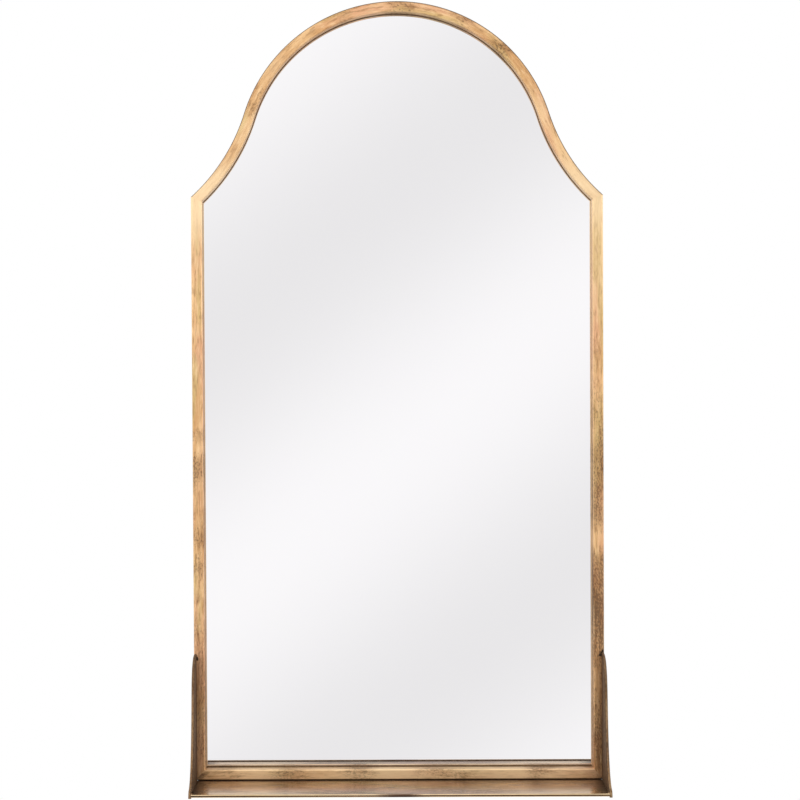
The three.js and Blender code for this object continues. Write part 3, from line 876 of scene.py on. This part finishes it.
def guide_mesh(paths, closed=False):
    """Edges along one or more paths of points, for a geometry tree to work on."""
    points, edges = [], []
    for path in paths:
        first = len(points)
        points += path
        edges += [(first + step, first + step + 1) for step in range(len(path) - 1)]
        if closed:
            edges.append((len(points) - 1, first))
    mesh = bpy.data.meshes.new("guide")
    mesh.from_pydata(points, edges, [])
    return mesh


def rolled_edge(name, points):
    """A sheet's edge curled into an open tube along the points: a thick arc carried along."""
    build = Build(
        "rolled_edge", Radius=HEM_RADIUS, Sheet=ROLLED_SHEET, Opening=50.0, Points=36,
        Finish=GOLD_CHEEK,
    )
    path = build.node("GeometryNodeMeshToCurve", {}, {0: build.given("Geometry")})
    count = build.given("Points")
    line = build.node("GeometryNodeCurvePrimitiveLine")
    line = build.node("GeometryNodeResampleCurve", {}, {"Curve": line, "Count": count})
    line = build.node("GeometryNodeSetSplineCyclic", {}, {0: line, "Cyclic": True})
    index = build.node("GeometryNodeInputIndex")
    half = count / 2
    outside = index < half
    share = (outside * index + (1 - outside) * (count - 1 - index)) / (half - 1)
    radius = build.given("Radius") - (1 - outside) * build.given("Sheet")
    opening = build.given("Opening")
    angle = (opening / 2 + share * (360 - opening)) * (math.pi / 180)
    across, up = build.maths("COSINE", angle) * radius, build.maths("SINE", angle) * radius
    spot = build.node("ShaderNodeCombineXYZ", {}, {0: across, 1: up})
    profile = build.node("GeometryNodeSetPosition", {}, {0: line, "Position": spot})
    sockets = {"Curve": path, "Profile Curve": profile, "Fill Caps": True}
    build.end(build.node("GeometryNodeCurveToMesh", {}, sockets))
    return build.run(name, guide_mesh([points]))


def finish_sheet_piece(piece, parts, material, node, paint):
    """Joins the meshes `parts`. `paint` gives a point's painted shade, its patina, and its rubbed
    gold and painted highlight.
    """
    mesh = joined(piece, parts)
    face_outward(mesh)
    painted = [paint(vertex.co) for vertex in mesh.vertices]
    for name, values in zip(("shade_and_grime", "patina_and_shade", "rub_and_highlight"), zip(*painted)):
        put_values(mesh, name, values)
    put_values(mesh, "edge", [0.0] * len(painted))
    shade_smooth(mesh)
    hand_over(piece, mesh, "mirror_frame", [node], material)


def cheek_paint(path):
    """Painted shade inside, in the crease along the rolled edge and in the corner by the stile; the
    whole rolled edge is darker, most at its upper end and at its toe, and the inside has more
    patina.
    """
    rim_x = HALF_WIDTH - HEM_RADIUS

    def paint(point):
        spot = Vector((point.y, point.z))
        away = min((spot - on_path).length for on_path in path)
        height = (point.z - FOOT_Z) / CHEEK_HEIGHT
        inward = rim_x - abs(point.x)
        if away < HEM_RADIUS * 1.04:
            tip = 0.85 * smooth(0.4, 0.8, height) + 0.75 * smooth(0.05, 0.0, height)
            crease = smooth(0.25, 0.8, inward / HEM_RADIUS)
            return max(crease, tip, 0.68), 0.4, 0.0
        if inward < 0:
            return 0.12, 0.3, 0.0
        corner = smooth(FRONT_Y - 14 * MM, FRONT_Y - 1 * MM, point.y)
        darkening = lerp(0.95, 0.85, smooth(HEM_RADIUS * 1.2, HEM_RADIUS * 2.5, away))
        return max(corner, darkening), 0.6, 0.0

    return paint


def cheek_sheet(path, sign, inner):
    """The flat of a cheek: level rows from the rolled edge to the stile, with two sides."""
    outer = inner + SHELF_SHEET
    steps = (0, 0), (2.6, 0.2), (4.5, 0.4), (8, 0.6), (400, 1)  # most millimetres, most share
    rows = []
    for point in path[1:]:
        width = FRONT_Y - point.x
        across = [point.x + min(inset * MM, share * width) for inset, share in steps]
        ring = [Vector((sign * inner, y, point.y)) for y in across]
        ring += [Vector((sign * outer, y, point.y)) for y in reversed(across)]
        rows.append(ring)
    return grid_mesh("cheek_sheet", rows)


def make_cheeks():
    path = cheek_path()
    rim_x = HALF_WIDTH - HEM_RADIUS
    for side, sign in (("left", -1), ("right", 1)):
        points = [Vector((sign * rim_x, point.x, point.y)) for point in path]
        sheet = cheek_sheet(path, sign, CHEEK_INNER + CHEEK_STEP)
        parts = [sheet, rolled_edge("cheek_roll", points)]
        finish_sheet_piece(
            f"cheek_{side}", parts, GOLD_CHEEK, f"shelf_cheek_{side}", cheek_paint(path)
        )


def make_shelf_floor():
    """The sheet between the cheeks, with its rolled front edge as a bead."""
    side = CHEEK_INNER + CHEEK_STEP
    roll_y = SHELF_FRONT_Y + HEM_RADIUS
    top = FOOT_Z - FLOOR_DROP
    outline = [(-side, roll_y), (side, roll_y), (side, BACK_Y), (-side, BACK_Y)]
    crease = roll_y + HEM_RADIUS
    middle = (crease + FRONT_Y) / 2
    cut_rows = [crease + behind * MM for behind in (0.3, 4, 8)]
    cut_rows += [middle, FRONT_Y - 4 * MM, FRONT_Y - 0.5 * MM]
    cut_insets = (3, 14, 24, 34, 90, 120, 180, 268)
    cut_columns = [sign * (side - inset * MM) for sign in (-1, 1) for inset in cut_insets]
    cuts = [((0, y, 0), (0, 1, 0)) for y in cut_rows]
    cuts += [((x, 0, 0), (1, 0, 0)) for x in cut_columns]
    sheet = plate_mesh(
        "floor_sheet", outline, top - SHELF_SHEET, top, lambda x, y, z: Vector((x, y, z)), cuts=cuts
    )
    roll_z = top + FLOOR_STEP - HEM_RADIUS
    steps = 50
    places = [lerp(-side, side, step / steps) for step in range(steps + 1)]
    parts = [sheet, rolled_edge("floor_roll", [Vector((x, roll_y, roll_z)) for x in places])]

    def paint(point):
        """Painted highlight on the bead, darker and without highlight at its middle, painted shade
        on its back;
        painted shade behind it, under the rail and at the ends, and a painted reflection on the
        front half towards both ends.
        """
        if point.y < crease + 0.01 * MM and point.y != roll_y:
            # The bead darker at its middle, without the painted highlight there.
            dark_middle = math.exp(-((point.x / (26 * MM)) ** 4))
            behind = smooth(roll_y + 0.4 * MM, roll_y + 1.2 * MM, point.y)
            return max(0.6 * dark_middle, behind), 0.3, 0.75 * (1 - dark_middle)
        # Painted shade behind the bead, under the rail and at the ends.
        front = 1 - smooth(crease + 3 * MM, crease + 8 * MM, point.y)
        under_rail = smooth(FRONT_Y - 4 * MM, FRONT_Y - 0.5 * MM, point.y)
        under_rail = max(under_rail, 0.25 * smooth(middle, FRONT_Y - 4 * MM, point.y))
        ends = 0.75 * smooth(side - 24 * MM, side - 3 * MM, abs(point.x))
        # Painted reflection on the front half, towards both ends.
        painted_reflection = smooth(middle + 5 * MM, crease + 8 * MM, point.y)
        painted_reflection *= smooth(side - 180 * MM, side - 90 * MM, abs(point.x)) * (1 - ends)
        return max(front, under_rail, ends), 0.25, 0.55 * painted_reflection

    finish_sheet_piece("shelf_pan", parts, GOLD_FLOOR, "shelf_floor", paint)


# ---- Welds ----


def beads(name, paths, radius, step, seed, finish):
    """Weld beads: rows of overlapping lumps along several short paths."""
    build = Build(name, Radius=radius, Step=step, Seed=seed, Finish=finish)
    path = build.node("GeometryNodeMeshToCurve", {}, {0: build.given("Geometry")})
    sockets = {"Curve": path, "Length": build.given("Step")}
    spots = build.node("GeometryNodeResampleCurve", {"mode": "LENGTH"}, sockets)
    lump = build.node(
        "GeometryNodeMeshIcoSphere", {}, {"Radius": build.given("Radius"), "Subdivisions": 3}
    )
    sizes = build.chance((0.75, 0.8, 0.75), (1.2, 1.1, 1.2), build.given("Seed"))
    turns = build.chance((0, 0, 0), (3.1, 3.1, 3.1), build.given("Seed") + 1)
    sockets = {"Points": spots, "Instance": lump, "Rotation": turns, "Scale": sizes}
    build.end(build.node("GeometryNodeInstanceOnPoints", {}, sockets))
    mesh = build.run(name, guide_mesh(paths))
    shade_smooth(mesh, 60)
    hand_over(name, mesh, "mirror_frame", [], finish)


def make_welds():
    """Short welds where the cheeks and the shelf meet the frame: dark at the cheeks' tips."""
    front = FRONT_Y - 0.3 * MM
    tip = FOOT_Z + CHEEK_HEIGHT
    outside = CHEEK_INNER + CHEEK_STEP + SHELF_SHEET
    toe_y = SHELF_FRONT_Y + 2 * HEM_RADIUS
    tips = {  # millimetres outward from the cheek's inner side, and above its tip
        -1: ((2.0, -0.4), (1.2, -3), (-0.8, -6)),
        1: ((2.0, 4.4), (1.2, 2), (-1.6, -1.4)),
    }
    heavy, light = [], []
    for sign, spots in tips.items():
        heavy.append([
            Vector((sign * (CHEEK_INNER + x * MM), front, tip + z * MM)) for x, z in spots
        ])
        for low, high in ((8, 30), (84, 106)):
            light.append([Vector((sign * outside, front, FOOT_Z + z * MM)) for z in (low, high)])
        seam = sign * (CHEEK_INNER + CHEEK_STEP)
        light.append([Vector((seam, toe_y + along * MM, FOOT_Z)) for along in (0, 7)])
    under = FOOT_Z - FLOOR_DROP - SHELF_SHEET + 0.7 * MM
    for middle in (-220, -75, 75, 220):
        light.append([Vector(((middle + along) * MM, BACK_Y, under)) for along in (-9, 9)])
    beads("weld_beads", heavy, radius=1.9 * MM, step=1.9 * MM, seed=4, finish=WELD)
    beads("shelf_seams", light, radius=0.85 * MM, step=0.6 * MM, seed=9, finish=GOLD_CHEEK)


def make_mitre_seams():
    """Dressed seams across the back of the four mitred corners, gilded over."""
    inset = 1 * MM
    seams = []
    for sign in (-1, 1):
        outer_x, inner_x = sign * (HALF_WIDTH - inset), sign * (HALF_WIDTH - BAR_FACE + inset)
        for outer_z, inner_z in (
            (FOOT_Z + inset, FOOT_Z + BAR_FACE - inset), (SHOULDER_Z, stile_top(BAR_FACE)),
        ):
            ends = (outer_x, outer_z), (inner_x, inner_z)
            seams.append([Vector((x, BACK_Y, z)) for x, z in ends])
    beads("mitre_seams", seams, radius=0.6 * MM, step=0.4 * MM, seed=12, finish=GOLD_CHEEK)


# ---- Fasteners and hardware ----


def copies(name, template, spots, seed, finish):
    """Copies of a template at the spots, each turned about the Y axis by chance."""
    source = new_object(f"{name}_template", template)
    build = Build(name, Template=source, Seed=seed, Finish=finish)
    info = build.node("GeometryNodeObjectInfo", {}, {0: build.given("Template")}, output="Geometry")
    turns = build.chance((0, 0, 0), (0, math.tau, 0), build.given("Seed"))
    sockets = {"Points": build.given("Geometry"), "Instance": info, "Rotation": turns}
    build.end(build.node("GeometryNodeInstanceOnPoints", {}, sockets))
    guide = bpy.data.meshes.new(name)
    guide.from_pydata(spots, [], [])
    mesh = build.run(name, guide)
    bpy.data.objects.remove(source)
    return mesh


SCREW_HEAD = 3.4 * MM  # radius
SCREW_RISE = 1.9 * MM
SCREW_RIM = 0.65 * MM  # where the head's dome begins
SCREW_SHANK = 1.75 * MM  # radius
SCREW_LENGTH = 9 * MM
SCREW_CROSS = 1.95 * MM  # half the width of its cross recess


def screw_template():
    """A pan-head screw along Y, its seat at y = 0, with a cross recess and a thread."""
    rings = 18

    def ring(radius, height):
        return turned_ring(radius, height, 72)

    def arm(along, across):
        """One arm of the cross: 1 in its slot, 0 outside."""
        slot = smooth(0.55 * MM, 0.38 * MM, abs(across))
        return slot * smooth(SCREW_CROSS, 1.5 * MM, abs(along))

    rows = [ring(0.2 * MM, -SCREW_LENGTH)]
    pitch = 1.1 * MM
    turns = int((SCREW_LENGTH - 1.6 * MM) / pitch)
    for turn in range(turns):
        base = -SCREW_LENGTH + 1.4 * MM + turn * pitch
        rows.append(ring(SCREW_SHANK * 0.72, base))
        rows.append(ring(SCREW_SHANK, base + 0.45 * pitch))
    rows += [ring(SCREW_SHANK * 0.8, -0.4 * MM), ring(SCREW_SHANK * 0.8, 0)]
    rows += [ring(SCREW_HEAD - 0.2 * MM, 0), ring(SCREW_HEAD, 0.2 * MM)]
    rows.append(ring(SCREW_HEAD, SCREW_RIM))
    for step in range(rings, 0, -1):
        share = step / (rings + 0.5)
        radius = SCREW_HEAD * (share - 0.015)
        dome = SCREW_RIM + (SCREW_RISE - SCREW_RIM) * (1 - share**2.6) ** 0.6
        row = ring(radius, dome)
        for point in row:
            cross = max(arm(point.z, point.x), arm(point.x, point.z))
            point.y -= cross * 1.1 * MM * (1 - 0.4 * radius / SCREW_CROSS)
        rows.append(row)
    mesh = grid_mesh("screw", rows)
    face_outward(mesh)
    return mesh


def middle_of(node):
    low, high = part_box(node)
    return (low + high) / 2


def make_screws():
    """All twelve screws: eight hold the turn buttons, four the hanger straps."""
    nodes = [name for name in sorted(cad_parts) if "_screw_" in name]
    spots = []
    for node in nodes:
        middle = middle_of(node)
        spots.append((middle.x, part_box(node)[1].y - SCREW_RISE, middle.z))
    mesh = copies("back_screws", screw_template(), spots, seed=5, finish=ZINC)
    shade_smooth(mesh, 35)
    hand_over("back_screws", mesh, "mirror_frame", nodes, ZINC)


def make_bumpers():
    """Four turned rubber feet with a dimple in the face that meets the wall."""
    nodes = [name for name in sorted(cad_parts) if name.startswith("wall_bumper")]
    low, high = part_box(nodes[0])
    radius, rise = (high.x - low.x) / 2 / MM, (high.y - low.y) / MM
    profile = [  # radius and height in millimetres, from the seat to the dimple
        (0.05, 0), (radius, 0), (radius, 0.7), (radius - 0.08, 1.1),
        (radius - 0.8, rise - 1.2), (radius - 1.0, rise - 0.5),
        (radius - 1.35, rise - 0.12), (radius - 1.9, rise), (3.0, rise),
        (2.6, rise - 0.12), (2.35, rise - 0.5), (2.0, 2.2), (0.05, 2.0),
    ]
    rings = [turned_ring(across * MM, height * MM, 48) for across, height in profile]
    template = grid_mesh("bumper", rings)
    face_outward(template)
    spots = [(middle_of(node).x, low.y, middle_of(node).z) for node in nodes]
    mesh = copies("wall_bumpers", template, spots, seed=2, finish=RUBBER)
    shade_smooth(mesh, 35)
    hand_over("wall_bumpers", mesh, "mirror_frame", nodes, RUBBER)


BUTTON_HALF = 4.5 * MM  # half its width
BUTTON_REACH = 21 * MM  # from its screw to its tip
BUTTON_SHEET = 1.5 * MM
BUTTON_HOLE = 2.05 * MM  # radius


def button_mesh(name, pivot, aim):
    """A pressed zinc tab with a hole, eased edges and a groove along its arm.

    `pivot` is (x, front y, z) and `aim` the unit way its tip points, in the plane of the back.
    """
    spine = BUTTON_REACH - BUTTON_HALF
    around = []  # where each outline point's normal starts on the spine, and the normal
    steps = 20
    for start, end, side in ((0.0, spine, -1), (spine, 0.0, 1)):
        for step in range(steps):
            angle = -side * math.pi / 2 + math.pi * step / steps
            around.append((start, Vector((math.cos(angle), math.sin(angle)))))
        around += [(lerp(start, end, step / steps), Vector((0, side))) for step in range(steps)]

    def groove(spot):
        """How deep the arm is pressed in."""
        width = smooth(1.5 * MM, 0.5 * MM, abs(spot.y))
        ends = smooth(5.5 * MM, 7 * MM, spot.x) * smooth(18 * MM, 16.5 * MM, spot.x)
        return 0.5 * MM * width * ends

    def row(inset, share, height, pressed):
        """A ring between the outline, `inset` inside it, and the hole at a share of 1."""
        made = []
        for start, normal in around:
            rim = Vector((start, 0)) + normal * (BUTTON_HALF - inset)
            hole = rim.normalized() * (BUTTON_HOLE + inset)
            spot = rim.lerp(hole, share)
            level = height - (groove(spot) if pressed else 0.0)
            made.append(Vector((
                pivot.x + spot.x * aim.x - spot.y * aim.y, pivot.y + level,
                pivot.z + spot.x * aim.y + spot.y * aim.x,
            )))
        return made

    top, ease = BUTTON_SHEET, 0.3 * MM
    half_ease = 0.3 * ease  # of the eased rim, halfway round it
    rows = [row(ease, 0, 0, False), row(half_ease, 0, half_ease, False), row(0, 0, ease, False)]
    rows += [row(0, 0, top - ease, False), row(half_ease, 0, top - half_ease, False)]
    rows += [row(ease, share / 16, top, True) for share in range(17)]
    rows += [row(0, 1, top - ease, False), row(0, 1, ease, False)]
    rows += [row(ease, share, 0, False) for share in (1, 0.66, 0.33)]
    mesh = grid_mesh(name, rows, caps=False)
    face_outward(mesh)
    shade_smooth(mesh, 50)
    return mesh


def make_turn_buttons():
    """Each points at rest from its screw towards the glass."""
    for node in sorted(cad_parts):
        if not node.startswith("turn_button"):
            continue
        screw = middle_of(node.replace("turn_button", "button_screw"))
        if "crown" in node:
            aim = CROWN_CENTRE - Vector((screw.x, screw.z))
        elif "foot" in node:
            aim = Vector((0, 1))
        else:
            aim = Vector((-screw.x, 0))
        pivot = Vector((screw.x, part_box(node)[0].y, screw.z))
        mesh = button_mesh(f"{node}_tab", pivot, aim.normalized())
        hand_over(f"{node}_tab", mesh, node, [node], ZINC)


RING_WIRE = 1.25 * MM  # radius
STRAP_SHEET = 1.2 * MM
KNUCKLE_MIDDLE = RING_WIRE + 0.3 * MM + STRAP_SHEET / 2  # radius of the rolled strap's middle


def strap_mesh(name, node):
    """A zinc strap lying on the stile's back and rolled round the ring at its top."""
    low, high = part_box(node)
    middle, half = (low.x + high.x) / 2, (high.x - low.x) / 2
    pivot_y = low.y + STRAP_SHEET / 2 + KNUCKLE_MIDDLE
    pivot_z = high.z - KNUCKLE_MIDDLE - STRAP_SHEET / 2
    lay = low.y + STRAP_SHEET / 2
    places = []  # middle line: y, z, the way that faces out, and the half width there
    round_end = 3 * MM
    for step in range(9):
        angle = math.pi / 2 * step / 8
        drop = round_end * (1 - math.sin(angle))
        width = half - round_end + round_end * math.sqrt(1 - (drop / round_end) ** 2)
        places.append((lay, low.z + round_end - drop, (1.0, 0.0), width))
    for step in range(1, 9):
        places.append((lay, lerp(low.z + round_end, pivot_z, step / 8), (1.0, 0.0), half))
    for step in range(1, 29):
        angle = math.radians(180 - 325 * step / 28)
        out = (-math.cos(angle), -math.sin(angle))
        y, z = pivot_y - KNUCKLE_MIDDLE * out[0], pivot_z - KNUCKLE_MIDDLE * out[1]
        places.append((y, z, out, half))
    rows = []
    ease = 0.3 * MM
    thick = STRAP_SHEET / 2
    for y, z, out, width in places:
        ring = []
        for across, rise in ((-1, 1), (1, 1), (1, -1), (-1, -1)):
            for share in (0.0, 0.5, 1.0):
                angle = math.pi / 2 * (share if across * rise < 0 else 1 - share)
                side = across * (width - ease + ease * math.cos(angle))
                level = rise * (thick - ease + ease * math.sin(angle))
                ring.append(Vector((middle + side, y + out[0] * level, z + out[1] * level)))
        rows.append(ring)
    mesh = grid_mesh(name, rows)
    face_outward(mesh)
    shade_smooth(mesh, 50)
    return mesh


def ring_mesh(name, node):
    """A D-shaped wire ring that hangs from its straight side: a round section on a path."""
    low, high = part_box(node)
    wire = (high.y - low.y) / 2
    middle_x, y, top = (low.x + high.x) / 2, (low.y + high.y) / 2, high.z - wire
    half = (high.x - low.x) / 2 - wire
    bend_z = low.z + wire + half
    corner = 2.2 * MM
    path = [Vector((0.0, top))]
    for x, z, radius, start, end, steps in (
        (half - corner, top - corner, corner, 90, 0, 8),
        (0.0, bend_z, half, 0, -180, 40),
        (corner - half, top - corner, corner, 180, 90, 8),
    ):
        for step in range(steps + 1):
            angle = math.radians(lerp(start, end, step / steps))
            path.append(on_circle(Vector((x, z)), radius, angle))
    build = Build("wire", Radius=wire, Sides=20, Finish=ZINC)
    curve = build.node("GeometryNodeMeshToCurve", {}, {0: build.given("Geometry")})
    sockets = {"Resolution": build.given("Sides"), "Radius": build.given("Radius")}
    circle = build.node("GeometryNodeCurvePrimitiveCircle", {}, sockets)
    build.end(build.node("GeometryNodeCurveToMesh", {}, {"Curve": curve, "Profile Curve": circle}))
    guide = guide_mesh([[Vector((middle_x + x, y, z)) for x, z in path]], closed=True)
    mesh = build.run(name, guide)
    face_outward(mesh)
    shade_smooth(mesh, 60)
    return mesh


def make_hangers():
    for side in ("left", "right"):
        strap, ring = f"hanger_strap_{side}", f"hanger_ring_{side}"
        mesh = strap_mesh(f"strap_{side}", strap)
        hand_over(f"strap_{side}", mesh, "mirror_frame", [strap], ZINC)
        mesh = ring_mesh(f"ring_{side}", ring)
        hand_over(f"ring_{side}", mesh, ring, [ring], ZINC)


# ---- Stage ----


def studio_world():
    """White for the camera and in reflections, and a plain level of light on everything."""
    world = bpy.data.worlds.new("studio")
    world.use_nodes = True
    tree = Tree(world.node_tree)
    world.node_tree.nodes.clear()
    ray = tree.node("ShaderNodeLightPath", output="Is Camera Ray")
    seen = ray + tree.other(ray, "Is Glossy Ray") + tree.other(ray, "Is Transmission Ray")
    ambient = 0.6
    strength = seen.between(0.0, 1.0) * (1 - ambient) + ambient
    light = tree.node("ShaderNodeBackground", {}, {"Color": (1, 1, 1, 1), "Strength": strength})
    tree.node("ShaderNodeOutputWorld", {}, {"Surface": light})
    bpy.context.scene.world = world


def studio_floor():
    """A plain pale floor under the mirror."""
    size, level = 2.5, -1.55
    mesh = bpy.data.meshes.new("studio_floor")
    corners = [(-size, -size), (size, -size), (size, size), (-size, size)]
    mesh.from_pydata([(x, y, level) for x, y in corners], [], [(0, 1, 2, 3)])
    finish = Finish("studio_floor", Roughness=0.9)
    tone = finish.cloud(finish.place(), 0.4, 2)
    finish.set(Base_Color=finish.blend(tone, (0.86, 0.86, 0.86, 1), (0.88, 0.88, 0.88, 1)))
    mesh.materials.append(finish.material)
    new_object("studio_floor", mesh)


# The bands on the card, in metres there and in shares of white.
BAND_TURN = (0.62, 0.785)
BAND_WIDTH = 1.86
BAND_START = -1.72
BAND_LEVEL = 0.938
BAND_SWING = 0.075


def reflection_card():
    """A large pale card behind the camera, seen only in reflections: soft diagonal bands."""
    half_width, low, high, back = 1.6, -2.6, 3.6, -6.0
    mesh = bpy.data.meshes.new("reflection_card")
    corners = [(-half_width, low), (half_width, low), (half_width, high), (-half_width, high)]
    mesh.from_pydata([(x, back, z) for x, z in corners], [], [(0, 1, 2, 3)])
    tree = Finish("reflection_card")
    spot = tree.place()
    x, z = tree.axis(spot, "X"), tree.axis(spot, "Z")
    along = (x * BAND_TURN[0] - z * BAND_TURN[1]) * (math.tau / BAND_WIDTH) + BAND_START
    glow = tree.maths("COSINE", along) * BAND_SWING + BAND_LEVEL
    light = tree.node("ShaderNodeEmission", {}, {"Color": (1, 1, 1, 1), "Strength": glow})
    output = next(node for node in tree.tree.nodes if node.type == "OUTPUT_MATERIAL")
    tree.tree.links.new(light.socket, output.inputs["Surface"])
    tree.tree.nodes.remove(tree.shader.socket.node)
    mesh.materials.append(tree.material)
    card = new_object("reflection_card", mesh)
    for ray in ("camera", "diffuse", "shadow", "transmission", "volume_scatter"):
        setattr(card, f"visible_{ray}", False)


def lamp(name, place, aim, size, watts):
    data = bpy.data.lights.new(name, "AREA")
    data.shape = "RECTANGLE"
    data.size, data.size_y = size
    data.energy = watts
    made = new_object(name, data)
    made.location = place
    made.rotation_euler = (Vector(aim) - Vector(place)).to_track_quat("-Z", "Y").to_euler()
    made.visible_camera = False


def studio_lamps():
    middle = (0, 0, -0.25)
    lamp("key_lamp", (-2.1, -2.2, 1.6), middle, (1.2, 1.6), 30)
    lamp("fill_lamp", (2.4, -2.0, 0.4), middle, (1.2, 1.6), 10)
    lamp("back_lamp", (0.8, 2.6, 1.4), middle, (1.6, 1.2), 16)


def make_camera():
    """Three metres in front, at the photograph's viewing angle."""
    data = bpy.data.cameras.new("camera")
    data.lens = 89.54
    data.sensor_width = 36
    data.shift_x = 0.0457
    camera = new_object("camera", data)
    camera.location = (-0.025, -2.986, -0.18)
    turns = (("Z", 0.5), ("X", 90 - 1.206), ("Z", -0.293))  # turn, tilt and roll, in degrees
    attitude = Matrix.Identity(3)
    for axis, angle in turns:
        attitude = attitude @ Matrix.Rotation(math.radians(angle), 3, axis)
    camera.rotation_euler = attitude.to_euler()
    bpy.context.scene.camera = camera


bpy.context.scene.view_settings.view_transform = "Standard"
make_camera()
studio_world()
studio_floor()
reflection_card()
studio_lamps()

make_frame_bars()
make_glass_stops()
make_glazing()
make_cheeks()
make_shelf_floor()
make_welds()
make_mitre_seams()
make_turn_buttons()
make_screws()
make_hangers()
make_bumpers()
